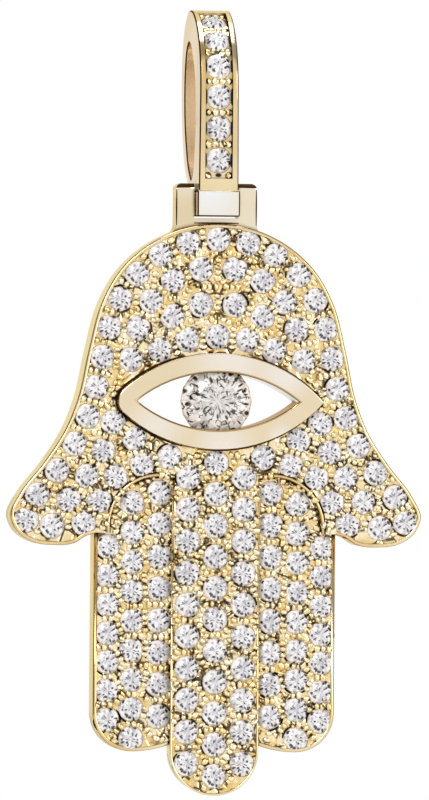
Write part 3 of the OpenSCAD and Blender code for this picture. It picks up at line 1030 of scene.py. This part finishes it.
@dataclass
class Rim:
    """A thin bright-cut bead along an edge of the plate, in millimetres."""

    width: float = 0.17
    proud: float = 0.06
    lap: float = 0.03

    def build(self, name: str, path: Array, face_y: float, side: float) -> Piece:
        """Carries the bead's profile along a path.

        A corner lies at the path's point, moved along the path's normal by the profile's first
        part, at the depth that its second part gives.

        Args:
            name: the piece's name.
            path: the edge, one row of across and up each.
            face_y: depth of the face.
            side: 1 where the metal is on the right of the path, -1 on the left.

        Returns:
            The piece.
        """
        w, p = self.width, self.proud
        profile = np.array([[w, 0.06], [w, -0.3 * p], [0.78 * w, -0.9 * p], [0.5 * w, -p],
                            [0.22 * w, -0.9 * p], [0, -0.3 * p], [-self.lap, 0.04], [-self.lap, 0.12],
                            [0.03, 0.14]])
        way = unit_rows(np.gradient(path, axis=0))
        inward = np.stack([way[:, 1], -way[:, 0]], axis=1) * side
        flat = path[:, None] + inward[:, None] * profile[None, :, :1]
        depth = np.broadcast_to(profile[None, :, 1] + face_y, flat.shape[:2])
        grid = np.stack([flat[..., 0], depth, flat[..., 1]], axis=-1)
        rows, cols = grid.shape[:2]
        ends = np.stack([np.arange(cols)[::-1], np.arange(cols) + (rows - 1) * cols])
        order = slice(None, None, int(side))
        return add_mesh(name, grid, tube(rows, cols)[:, order].tolist() + ends[:, order].tolist())

    @staticmethod
    def shade_outer_slope(piece: Piece, material: Material) -> None:
        """Paints shade on the bead's outer slope, the profile's sides 5 to 7 of 9, with a darker finish of
        its own.

        Args:
            piece: the bead.
            material: the darker finish of the painted shade.
        """
        piece.data.materials.append(material)
        side = np.arange(len(piece.data.polygons)) % 9
        piece.data.polygons.foreach_set("material_index", ((side >= 5) & (side <= 7)).astype(np.int32))


# A line's path, width and depth of the face.
Line = tuple[Array, float, float]


@dataclass
class EyeLines:
    """Painted shadow lines where the eye's frame meets the pave, in millimetres.

    The frame's upper edge is an arc about a point under the eye, its lower edge the mirror image,
    and a small arc rounds the left tip.
    """

    eye_z: float = -18.74
    radius: float = 7.482
    centre: float = 4.962
    tip_x: float = 4.40
    tip_r: float = 0.85
    off: float = 0.04

    def loop(self, grow: float) -> Array:
        """The frame's closed outline.

        Args:
            grow: how far outside the frame it runs.

        Returns:
            The outline.
        """
        upper = arc((0, self.eye_z - self.centre), self.radius + grow, 126, 54, 24)
        return np.vstack([upper, [self.tip_x + self.tip_r + grow, self.eye_z],
                          (upper * [1, -1])[::-1] + [0, 2 * self.eye_z],
                          [-self.tip_x - self.tip_r - grow, self.eye_z]])

    def paths(self) -> list[Line]:
        """Works out the lines.

        Returns:
            A line round the left tip, and two thinner ones at the right.
        """
        r, z = self.radius + self.off, self.eye_z
        touch = math.degrees(math.acos(-self.tip_x / (self.radius - self.tip_r)))
        upper = arc((0, z - self.centre), r, 104, touch, 14)
        tip = arc((-self.tip_x, z), self.tip_r + self.off, touch, 360 - touch, 10)[1:-1]
        lower = arc((0, z + self.centre), r, 360 - touch, 256, 14)
        right = arc((0, z - self.centre), r, 76, 46, 14)
        under = arc((0, z + self.centre), r, 262, 306, 18)
        return [(np.vstack([upper, tip, lower]), 0.12, FACE_Y), (right, 0.08, FACE_Y), (under, 0.08, FACE_Y)]


@dataclass
class HingeLines:
    """Painted shadow lines under the knuckle and down the ears, in millimetres."""

    half: float = 1.17
    foot: float = -9.46
    ear_half: float = 2.095
    ear_top: float = -7.72
    ear_foot: float = -9.6
    ear_y: float = 0.8
    width: float = 0.07

    def paths(self) -> list[Line]:
        """Works out the lines.

        Returns:
            A line under the knuckle, and one down each ear.
        """
        under = np.array([[-self.half, self.foot], [self.half, self.foot]])
        ears = [np.array([[x, self.ear_top], [x, self.ear_foot]]) for x in (-self.ear_half, self.ear_half)]
        return [(path, self.width, FACE_Y + self.ear_y) for path in [under, *ears]]


@dataclass
class ShadowStrip:
    """Painted shadows: thin flat dark strips on the plate, in millimetres."""

    width: float = 0.115
    proud: float = 0.012
    sunk: float = 0.03
    gap: float = -0.01
    share: Span = (0.9, 0.45)
    middle: Span = (200.0, 20.0)
    steps: int = 8

    def strips(self, name: str, paths: Array, inner: Array, face_y: Array, width: Array) -> Piece:
        """Carries a flat profile along many paths of the same number of points.

        A corner is the path's point moved along the path's normal by the profile's width, which
        swells from nothing at both ends, at the depth that the profile gives.

        Args:
            name: the piece's name.
            paths: the paths, as path by point by across and up.
            inner: their unit normals, of the same shape.
            face_y: depth of the plate's face for each path.
            width: width of each path's strip.

        Returns:
            The piece.
        """
        count, steps = paths.shape[:2]
        swell = np.sin(np.pi * np.linspace(0.06, 0.94, steps)) ** 0.5
        half = 0.5 * width[:, None, None] * swell[None, :, None]
        a, b = paths - inner * half, paths + inner * half
        low = np.broadcast_to(face_y[:, None] + self.sunk, (count, steps))
        high = low - self.sunk - self.proud
        corners = np.stack([np.stack([p[..., 0], y, p[..., 1]], axis=-1)
                            for p, y in ((a, low), (a, high), (b, high), (b, low))], axis=2)
        start = np.arange(count)[:, None] * steps * 4
        quads = (start[:, None] + tube(steps, 4)).reshape(-1, 4)
        first = start + np.arange(4)
        faces = np.vstack([quads, first[:, ::-1], first + (steps - 1) * 4])
        piece = add_mesh(name, corners, faces.tolist(), smooth=False)
        b = bmesh.new()
        b.from_mesh(piece.data)
        bmesh.ops.recalc_face_normals(b, faces=b.faces)
        b.to_mesh(piece.data)
        b.free()
        return piece

    def along(self, name: str, lines: Sequence[Line], count: int = 48) -> Piece:
        """Carries the profile along some paths.

        Args:
            name: the piece's name.
            lines: the paths, with their widths and depths.
            count: points that each path is cut into.

        Returns:
            The piece.
        """
        paths = np.stack([evenly(path, count) for path, _, _ in lines])
        way = unit_rows(np.gradient(paths, axis=1))
        inner = np.stack([way[..., 1], -way[..., 0]], axis=-1)
        width, depth = np.array([line[1:] for line in lines]).T
        return self.strips(name, paths, inner, depth, width)

    def round_stones(self, name: str, stones: Array, radius: float, face_y: Array, seed: int) -> Piece:
        """Lays short arcs of painted shadow beside the stones, where they meet the metal.

        Args:
            name: the piece's name.
            stones: the stones' centres in the plane.
            radius: their radius.
            face_y: depth of the face at each stone.
            seed: seed of the arcs' places.

        Returns:
            The piece.
        """
        rng = np.random.default_rng(seed)
        stone, normals = [], []
        for share, middle in zip(self.share, self.middle):
            chosen = np.nonzero(rng.random(len(stones)) < share)[0]
            at = np.radians(middle + rng.normal(0, 45, len(chosen)))
            half = np.radians(rng.uniform(22, 42, len(chosen)))
            turn = at[:, None] + half[:, None] * np.linspace(-1, 1, self.steps)
            normals.append(np.stack([np.cos(turn), np.sin(turn)], axis=-1))
            stone.append(chosen)
        stone, normals = np.concatenate(stone), np.concatenate(normals)
        paths = stones[stone][:, None] + normals * (radius + self.gap + self.width / 2)
        return self.strips(name, paths, normals, face_y[stone], np.full(len(paths), self.width))


@dataclass
class Grains:
    """Small pegs of gold raised between the stones to hold them, in millimetres."""

    across: float = 0.165
    along: float = 0.225
    rise: float = 0.15
    reach: float = 1.95
    offsets: tuple[float, ...] = (0.16, 0.48, 0.78)
    clear: float = 0.08
    apart: float = 0.30
    fill: float = 0.36
    shake: float = 0.07
    inset: float = 0.23
    seed: int = 5
    # Distance between the grid's rows as a share of that in a row, and points round the outline.
    ROW_SHARE = 0.87
    EDGE_POINTS = 1200

    def places(self, stones: Array, width: float, loop: Array, hole: Array) -> tuple[Array, Array]:
        """Chooses the grains' places between neighbouring stones and where there is none.

        Each pair of neighbours gives places on the line that halves the gap between them, at the
        offsets to both sides. The rest of the face gets a shaken six-sided grid. Places outside
        the outline, under a stone or too near an earlier one are dropped.

        Args:
            stones: the stones' centres in the plane.
            width: their diameter.
            loop: the face's closed outline.
            hole: outline of a part of it that stays free.

        Returns:
            The places and the directions of the pegs' long sides, one row each.
        """
        span = np.linalg.norm(stones[:, None] - stones[None], axis=2)
        a, b = np.nonzero(np.triu(span < self.reach, 1))
        way = (stones[b] - stones[a]) / span[a, b][:, None]
        normal = np.stack([-way[:, 1], way[:, 0]], axis=1)
        made = [(stones[a] + stones[b]) / 2 + normal * o * sign for o in self.offsets for sign in (1, -1)]
        ways = [way] * len(made)
        rng = np.random.default_rng(self.seed)
        low, high = loop.min(axis=0), loop.max(axis=0)
        row_gap = self.fill * self.ROW_SHARE
        rows, cols = ((high - low)[::-1] / [row_gap, self.fill]).astype(int) + 1
        r, c = np.meshgrid(np.arange(rows), np.arange(cols), indexing="ij")
        grid = np.stack([low[0] + (c + r % 2 / 2) * self.fill, low[1] + r * row_gap], axis=-1).reshape(-1, 2)
        made.append(grid + rng.uniform(-self.shake, self.shake, grid.shape))
        turn = rng.uniform(0, np.pi, len(grid))
        ways.append(np.stack([np.cos(turn), np.sin(turn)], axis=1))
        made, ways = np.concatenate(made), np.concatenate(ways)
        free = np.linalg.norm(made[:, None] - stones[None], axis=2).min(axis=1)
        good = (free > width / 2 + self.clear) & inside(made, loop) & ~inside(made, hole)
        made, ways = made[good], ways[good]
        edge = evenly(np.vstack([loop, loop[:1]]), self.EDGE_POINTS)
        good = np.linalg.norm(made[:, None] - edge[None], axis=2).min(axis=1) > self.inset
        made, ways = made[good], ways[good]
        gap = np.linalg.norm(made[:, None] - made[None], axis=2)
        keep = np.ones(len(made), bool)
        for i in range(len(made)):
            if keep[i]:
                keep[i + 1:] &= gap[i, i + 1:] > self.apart
        return made[keep], ways[keep]

    def build(self, name: str, centre: Array, along: Array, out: Array) -> Piece:
        """Makes the pegs as scaled copies of a unit dome.

        Args:
            name: the piece's name.
            centre: the pegs' feet.
            along: the directions of their long sides.
            out: their outward directions.

        Returns:
            The piece.
        """
        seg, rings = 9, [(1.0, -0.55), (0.97, 0.25), (0.76, 0.71), (0.40, 0.94)]
        i = np.arange(seg)
        dome = np.vstack([ring(2 * np.pi * i / seg, *row) for row in rings] + [[0, 0, 1.0]])
        top = (len(rings) - 1) * seg
        fan = np.stack([top + i, top + (i + 1) % seg, np.full(seg, len(dome) - 1)], axis=1)
        faces = tube(len(rings), seg).tolist() + fan.tolist() + [list(range(seg))[::-1]]
        rng = np.random.default_rng(self.seed)
        scale = np.array([self.across, self.along, self.rise]) * rng.uniform(0.85, 1.15, (len(centre), 1))
        basis = np.stack([np.cross(along, out), along, out], axis=1) * scale[:, :, None]
        return scatter(name, dome, faces, centre, basis)


# ---------------------------------------------------------------- studio


@dataclass
class Studio:
    """Camera, lights, surroundings and floor; sizes are in millimetres."""

    azimuth: float = -8.0
    roll: float = 0.5
    lens: float = 900.0
    sensor: float = 36.0
    frame_h: float = 41.6
    aim: Triple = (-0.13, FACE_Y, -18.67)
    floor_z: float = -75.0
    floor_half: float = 400.0
    greys: tuple[Span, ...] = ((0.0, 0.9), (0.22, 0.95), (0.30, 0.22), (0.50, 0.16), (0.78, 0.18),
                               (0.87, 0.95), (1.0, 1.0))
    overhead: Triple = (0.1, 0.8, 0.40)

    def camera(self) -> None:
        """Makes the camera: it looks level at the aim, turned a little to the pendant's left."""
        data = bpy.data.cameras.new("camera")
        data.lens = self.lens
        data.sensor_width = self.sensor
        turn = math.radians(self.azimuth)
        back = Vector((math.sin(turn), -math.cos(turn), 0.0))
        away = self.frame_h * self.lens / self.sensor * MM
        data.clip_start = away * 0.1
        data.clip_end = away * 100
        camera = add_object("camera", data)
        camera.rotation_mode = "QUATERNION"
        camera.location = Vector(self.aim) * MM + back * away
        tilt = Matrix.Rotation(math.radians(self.roll), 4, "Z")
        level = (-back).to_track_quat("-Z", "Y").to_matrix().to_4x4()
        camera.rotation_quaternion = (level @ tilt).to_quaternion()
        bpy.context.scene.camera = camera

    def surroundings(self) -> None:
        """A white tent for the eye, with a darker ring round the front for reflections.

        The greys lie from the front to the back, and the overhead grey comes in between two
        heights of the way up.
        """
        world = bpy.data.worlds.new("studio")
        bpy.context.scene.world = world
        n = Nodes(world)
        _, y, z = n.parts(n.node("ShaderNodeTexCoord", {}, {}, "Generated"))
        start, end, grey = self.overhead
        above = n.node("ShaderNodeMapRange", {"interpolation_type": "SMOOTHSTEP"},
                       {"Value": z, "From Min": start, "From Max": end, "To Max": grey})
        greys = n.mix(1.0, n.ramp(y * -0.5 + 0.5, self.greys), above, "LIGHTEN")
        lit = n.node("ShaderNodeBackground", {}, {0: greys, 1: 1.0})
        white = n.node("ShaderNodeBackground", {}, {0: (1.0, 1.0, 1.0), 1: 1.0})
        seen = n.node("ShaderNodeLightPath", {}, {}, "Is Camera Ray")
        n.end("ShaderNodeOutputWorld", n.node("ShaderNodeMixShader", {}, {0: seen, 1: lit, 2: white}))

    def light(self, name: str, at: Triple, size: float, power: float) -> None:
        """Adds a soft square light that points at the pendant.

        Args:
            name: its name.
            at: its place in millimetres.
            size: its side in millimetres.
            power: its power in watts.
        """
        data = bpy.data.lights.new(name, "AREA")
        data.shape = "SQUARE"
        data.size = size * MM
        data.energy = power
        lamp = add_object(name, data)
        place = Vector(at) * MM
        lamp.location = place
        lamp.rotation_mode = "QUATERNION"
        lamp.rotation_quaternion = (Vector(self.aim) * MM - place).to_track_quat("-Z", "Y")

    def floor(self) -> None:
        """Lays a sheet of pale paper far below."""
        h, z = self.floor_half, self.floor_z
        corners = [[-h, -h, z], [h, -h, z], [h, h, z], [-h, h, z]]
        sheet = add_mesh("floor", corners, [[0, 1, 2, 3]], smooth=False)
        s = Shader("floor_paper")
        paper = s.set(Base_Color=(0.86, 0.86, 0.85), Roughness=0.8, Specular_IOR_Level=0.2,
                      Normal=s.bump(s.noise(1.5 * MM), 0.02 * MM, 0.4))
        sheet.data.materials.append(paper)

    def build(self) -> None:
        """Makes the whole studio."""
        self.camera()
        self.surroundings()
        self.light("key", (-260, -420, 260), 220, 1.2)
        self.light("fill", (320, -300, 60), 260, 0.6)
        self.light("top", (0, 60, 420), 300, 0.9)
        self.floor()
        view = bpy.context.scene.view_settings
        view.view_transform = "Standard"
        view.look = "None"


# ---------------------------------------------------------------- pendant


@dataclass(frozen=True)
class Finishes:
    """The pendant's materials."""

    polished: Material
    frame: Material
    shaded_wall: Material
    lit_wall: Material
    inside: Material
    ear: Material
    knuckle: Material
    brown: Material
    amber: Material
    shadow: Material
    pave: Material
    grain: Material
    diamond: Material
    centre: Material

    @classmethod
    def make(cls) -> "Finishes":
        """Builds them all.

        Returns:
            The materials.
        """
        finishes = dict(
            polished=PolishedGold(),
            # A paler copy of the gold with painted highlights on the frame's front.
            frame=PolishedGold("frame_gold_highlights", (0.79, 0.65, 0.41), (0.87, 0.80, 0.71), reach=0.9 * MM,
                               painted_highlights=((0.6, -16.6, 3.2), (-3.3, -20.1, 2.2), (0.3, -21.3, 2.2),
                                             (3.6, -17.4, 1.8), (3.3, -20.6, 1.0))),
            # Shaded and lit copies of the gold for the frame's inner walls, chosen by which way a wall faces.
            shaded_wall=PolishedGold("frame_wall_shaded", (0.46, 0.29, 0.11), (0.60, 0.40, 0.18), reach=0.9 * MM,
                              glaze=(0.66, 0.46, 0.24)),
            lit_wall=PolishedGold("frame_wall_lit", (0.92, 0.87, 0.76), (0.95, 0.93, 0.88),
                                    glaze=(1.0, 0.99, 0.96)),
            # A paler, less yellow copy of the gold: painted light on the bail's left side and inside its
            # opening.
            inside=PolishedGold("bail_inside_lit", (0.82, 0.66, 0.44), (0.90, 0.77, 0.60),
                                glaze=(1.0, 0.92, 0.80), roughness=0.2),
            # A paler copy of the gold, painted light on the ears' fronts, with more painted shade where
            # little open air reaches.
            ear=PolishedGold("ear_gold_lit", (0.76, 0.62, 0.40), (0.84, 0.76, 0.60), reach=0.35 * MM, level=0.66),
            # A paler copy of the gold with a painted highlight on the knuckle's front.
            knuckle=PolishedGold("knuckle_gold_lit", (0.86, 0.78, 0.64), (0.88, 0.88, 0.88),
                                 painted_highlights=((-0.5, -7.8, 2.0),)),
            # Painted shade: dark copies of the gold for edges, slopes and the strips of painted shadow.
            brown=PolishedGold("edge_shade_brown", (0.16, 0.085, 0.03), (0.26, 0.15, 0.06), glaze=(0.5, 0.35, 0.2)),
            amber=PolishedGold("edge_shade_amber", (0.42, 0.27, 0.10), (0.56, 0.38, 0.16), glaze=(0.8, 0.6, 0.35)),
            shadow=PolishedGold("painted_shadow", (0.014, 0.007, 0.002), (0.06, 0.03, 0.012), roughness=0.5),
            pave=PaveGold(),
            # A paler copy of the pave gold for the pegs, painted light, with painted shade at their feet.
            grain=PaveGold("grain_gold_lit", (0.84, 0.65, 0.34), (0.94, 0.83, 0.60), reach=0.15 * MM,
                           roughness=0.30),
            # Stones with painted reflections, painted shade and a painted glow.
            diamond=Diamond(),
            centre=Diamond("centre_diamond", table=(0.68, 0.65, 0.62), shade=(0.42, 0.38, 0.35),
                           dark=(0.012, 0.008, 0.006), rim=(0.42, 0.30, 0.14), rim_at=(0.965, 0.02),
                           slivers=34.0, rings=7.0, outer=(46.0, 3.0, 0.62), inner=(26.0, 4.0, 0.55),
                           line_cells=(9.0, 14.0), painted_glow=0.24),
        )
        return cls(**{key: finish.material() for key, finish in finishes.items()})


def between(values: Array, low: float, high: float) -> Array:
    """Mask of the values between two others."""
    return (values > low) & (values < high)


class Pendant:
    """Dresses the pendant's solids; sizes are in millimetres."""

    STONE_W = 1.26
    STONE_NODES = ("palm_stones", "finger_stones")
    ACROSS = np.array([1.0, 0.0, 0.0])
    OUT = np.array([0.0, -1.0, 0.0])
    # The bail: its sides lie further across than BAIL_HALF, the middle of its opening is at BAIL_Y
    # and BAIL_Z, and its knuckle is under KNUCKLE_Z.
    BAIL_HALF = 0.9
    BAIL_Y, BAIL_Z = -0.8, -3.6
    KNUCKLE_Z = -7.6
    # Parts of a normal: over FLAT a face is square to that axis, and under SLOPED it runs along it.
    FLAT, SLOPED = 0.97, 0.3
    # The bail's channel: places of the pegs across it, their distance beyond the end stones and
    # their lift, half its width, and how far under the lowest stone the drill's mark lies.
    PEGS = np.array([-0.54, -0.19, 0.19, 0.54])
    BEYOND = 0.80
    LIFT = 0.06
    CHANNEL_HALF = 0.67
    DRILL_DOWN = 0.77

    def __init__(self, nodes: dict[str, Piece]) -> None:
        """Keeps the solids and makes the finishes.

        Args:
            nodes: the CAD nodes by name.
        """
        self.nodes = nodes
        self.finish = Finishes.make()
        self.outline = HandOutline()
        self.settings: dict[str, Settings] = {}

    def bail(self) -> None:
        """Casts the bail, with lit copies of the gold on its knuckle, left side and inner faces, and painted
        shade along its edges, channel walls and the knuckle's foot.
        """
        f, half, low, flat, slope = self.finish, self.BAIL_HALF, self.KNUCKLE_Z, self.FLAT, self.SLOPED
        casting = Casting("bail", Body.BAIL, Slot.GOLD, 0.07, clamp=False)
        piece = casting.build(self.nodes["bail"], f.polished,
                              lambda m: (np.abs(m[:, 0]) > half) | (m[:, 2] < low + 0.1))
        casting.finish_faces(piece, [
            # Painted light and shade by face: lit copies on the inner and knuckle faces, painted shade on the
            # bevels and channel walls.
            (f.inside, lambda g: (g.nx < -flat) & (g.x < -half)),
            (f.inside, lambda g: (np.abs(g.nx) < slope)
             & (g.ny * (g.y - self.BAIL_Y) + g.nz * (g.z - self.BAIL_Z) < 0)),
            (f.knuckle, lambda g: (g.ny < -0.9) & (g.y < FACE_Y - 0.05) & (g.z < low - 0.1)),
            (f.shadow, lambda g: between(np.abs(g.nx), slope, flat) & (np.abs(g.x) > half)),
            (f.brown, lambda g: between(g.nx, slope, flat) & (g.z > low) & (np.abs(g.x) > half)),
            (f.shadow, lambda g: (np.abs(g.nx) > 0.95) & between(np.abs(g.x), 0.6, 0.8) & (g.z > low + 0.2)),
            (f.shadow, lambda g: (g.ny < -0.1) & (g.z < low) & (g.nz < -slope)),
        ])

    def eye_frame(self) -> None:
        """Casts the eye's frame, pale in front with painted highlights, lit and shaded copies of the gold on
        its inner walls, and painted shade on its brown and amber edges.
        """
        f, within, back, edge = self.finish, EyeLines().loop(-0.4), -0.2, -0.7
        casting = Casting("eye_frame", Body.HAND, Slot.POLISHED, 0.10)
        piece = casting.build(self.nodes["eye_frame"], f.frame, lambda m: m[:, 1] < FACE_Y)
        casting.finish_faces(piece, [
            # Lit and shaded copies of the gold on the walls by which way they face, and painted shade on the
            # edges.
            (f.shaded_wall, lambda g: (g.ny > back) & (g.nz > 0)),
            (f.lit_wall, lambda g: (g.ny > back) & (g.nz <= 0)),
            (f.brown, lambda g: between(g.ny, edge, back)),
            (f.amber, lambda g: between(g.ny, -self.FLAT, edge)
             & inside(np.stack([g.x, g.z], axis=1), within)),
        ])

    def hand_plate(self) -> None:
        """Casts the hand, with a pave face, a paler lit copy of the gold on the ears, and painted shade on
        the pave's cuts, the ear tops and the back slopes.
        """
        f, crown = self.finish, self.outline.crown_z
        casting = Casting("hand_plate", Body.HAND, Slot.GOLD, 0.05)
        piece = casting.build(self.nodes["hand_plate"], f.polished)
        casting.finish_faces(piece, [
            # The pave gold carries painted shade; the ears get a lit copy, the back slopes and ear tops
            # painted shade.
            (f.pave, lambda g: (g.ny < -self.SLOPED) & (g.z < crown) & (g.y < FACE_Y + 1)),
            (f.ear, lambda g: (g.ny < -0.8) & (g.z > crown - 0.2) & between(g.y, FACE_Y + 0.5, FACE_Y + 1)),
            (f.brown, lambda g: between(g.ny, 0.25, 0.9) & (g.y > FACE_Y + 2)),
            (f.shadow, lambda g: between(g.ny, -self.FLAT, -0.05) & (g.nz > 0.2) & (g.z > crown + 1.2)),
        ])

    def stones(self) -> None:
        """Puts a full brilliant in the place of every cut stone, and finishes the pin."""
        f = self.finish
        pin = self.nodes["hinge_pin"].data.materials
        pin.clear()
        pin.append(f.polished)
        fields = [("palm_stones", Body.HAND, Slot.PAVE, f.diamond, 1.06),
                  ("finger_stones", Body.HAND, Slot.PAVE, f.diamond, 1.06),
                  ("bail_stones", Body.BAIL, Slot.PAVE, f.diamond, 1.05),
                  ("eye_stone", Body.HAND, Slot.CENTRE, f.centre, 1.01)]
        brilliant = Brilliant()
        for seed, (node, body, slot, material, swell) in enumerate(fields):
            self.settings[node] = Settings.of_node(self.nodes[node])
            piece = brilliant.field(node.replace("stone", "brilliant"), self.settings[node], seed, swell)
            put_on(piece, body, material)
            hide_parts(node)

    def rims(self) -> None:
        """Runs bright-cut beads along the hand's edges and the fingers' arches, with painted shade on their
        outer slopes.
        """
        o, wide, thin = self.outline, Rim(), Rim(0.12, 0.05)
        rows = [("palm_rim", wide, both_halves(o.palm()), FACE_Y, 1.0),
                ("middle_rim", thin, both_halves(o.middle_finger()[::-1])[::-1], FACE_Y, -1.0),
                ("right_finger_rim", wide, o.outer_finger(), FACE_Y + STEP, 1.0),
                ("left_finger_rim", wide, o.outer_finger() * [-1, 1], FACE_Y + STEP, -1.0),
                ("right_arch_rim", thin, o.arch(), FACE_Y, -1.0),
                ("left_arch_rim", thin, o.arch() * [-1, 1], FACE_Y, 1.0)]
        for name, rim, path, depth, side in rows:
            piece = put_on(rim.build(name, path, depth, side), Body.HAND, self.finish.polished)
            rim.shade_outer_slope(piece, self.finish.amber)

    def hand_stones(self) -> Array:
        """Centres of all the pave stones of the hand."""
        return np.vstack([self.settings[n].centre for n in self.STONE_NODES])

    def hand_grains(self) -> None:
        """Raises grains round the hand's stones, on the face that each stands on."""
        grains, stones = Grains(), self.hand_stones()[:, [0, 2]]
        places, ways = grains.places(stones, self.STONE_W, self.outline.loop(), EyeLines().loop(0.24))
        spots = np.insert(places, 1, FACE_Y + STEP * self.outline.lowered(places), axis=1)
        out = np.tile(self.OUT, (len(spots), 1))
        piece = grains.build("hand_grains", spots, np.insert(ways, 1, 0.0, axis=1), out)
        put_on(piece, Body.HAND, self.finish.grain)

    def shadow_lines(self) -> None:
        """Draws painted shadows: arcs beside the stones, where they meet the metal, and lines round the eye,
        arches and hinge.
        """
        cut_shade, stones = ShadowStrip(), self.hand_stones()
        depth = np.where(stones[:, 1] > FACE_Y + 0.2, FACE_Y + STEP, FACE_Y)
        gap_shadows = cut_shade.round_stones("stone_gap_shadows", stones[:, [0, 2]], self.STONE_W / 2 + 0.02, depth, 11)
        put_on(gap_shadows, Body.HAND, self.finish.shadow)
        arches = [(self.outline.arch(grow) * [side, 1], width, y) for side in (-1, 1)
                  for grow, width, y in ((0.17, 0.08, FACE_Y), (-0.08, 0.11, FACE_Y + STEP))]
        lines = cut_shade.along("shadow_lines", EyeLines().paths() + HingeLines().paths() + arches)
        put_on(lines, Body.HAND, self.finish.shadow)

    def bail_grains(self) -> None:
        """Raises four grains in each gap of the bail's channel and beyond its end stones.

        Two of the lowest four are left out. Slivers of painted shadow lie beside the stones along the
        channel's walls, and a small dark dot of painted shade for the drill's mark under the lowest.
        """
        strip = self.settings["bail_stones"]
        order = np.argsort(strip.centre[:, 2])
        centre, out = strip.centre[order], strip.out[order]
        halfway = unit_rows(out[:-1] + out[1:])
        up = centre[-1] - centre[-2]
        up = unit_rows(up - out[-1] * (up @ out[-1]))
        beyond = centre[-1] + up * self.BEYOND + out[-1] * -0.05
        below = centre[0] + [0, 0.02, -self.BEYOND]
        middle = np.vstack([(centre[:-1] + centre[1:]) / 2 + halfway * self.LIFT, beyond, below])
        away = np.repeat(np.vstack([halfway, out[-1], out[0]]), 4, axis=0)
        spots = (middle[:, None] + self.PEGS[None, :, None] * self.ACROSS).reshape(-1, 3)
        keep = np.ones(len(spots), bool)
        keep[-3:-1] = False
        sides = np.array([[-self.CHANNEL_HALF], [self.CHANNEL_HALF]]) * self.ACROSS
        both = (strip.centre[:, None] + sides + strip.out[:, None] * 0.08).reshape(-1, 3)
        twice = np.repeat(strip.out, 2, axis=0)
        rows = [("bail_grains", Grains(0.20, 0.22), spots[keep], away[keep], self.finish.grain),
                ("channel_shadows", Grains(0.055, 0.40, 0.04), both, twice, self.finish.shadow)]
        for name, grains, places, outward, material in rows:
            piece = grains.build(name, places, np.cross(outward, self.ACROSS), outward)
            put_on(piece, Body.BAIL, material)
        low = centre[:1] + [0, -0.08, -self.DRILL_DOWN]
        drill = Grains(0.08, 0.15, 0.04).build("drill_mark_shade", low, self.ACROSS[None], self.OUT[None])
        put_on(drill, Body.BAIL, self.finish.shadow)

    def build(self) -> None:
        """Dresses every piece."""
        for step in (self.bail, self.eye_frame, self.hand_plate, self.stones, self.rims, self.hand_grains,
                     self.shadow_lines, self.bail_grains):
            step()


def main() -> None:
    """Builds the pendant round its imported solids."""
    logging.basicConfig(level=logging.INFO, format="%(message)s")
    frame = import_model()
    Studio().build()
    Pendant(frame["nodes"]).build()


if __name__ == "__main__":
    main()
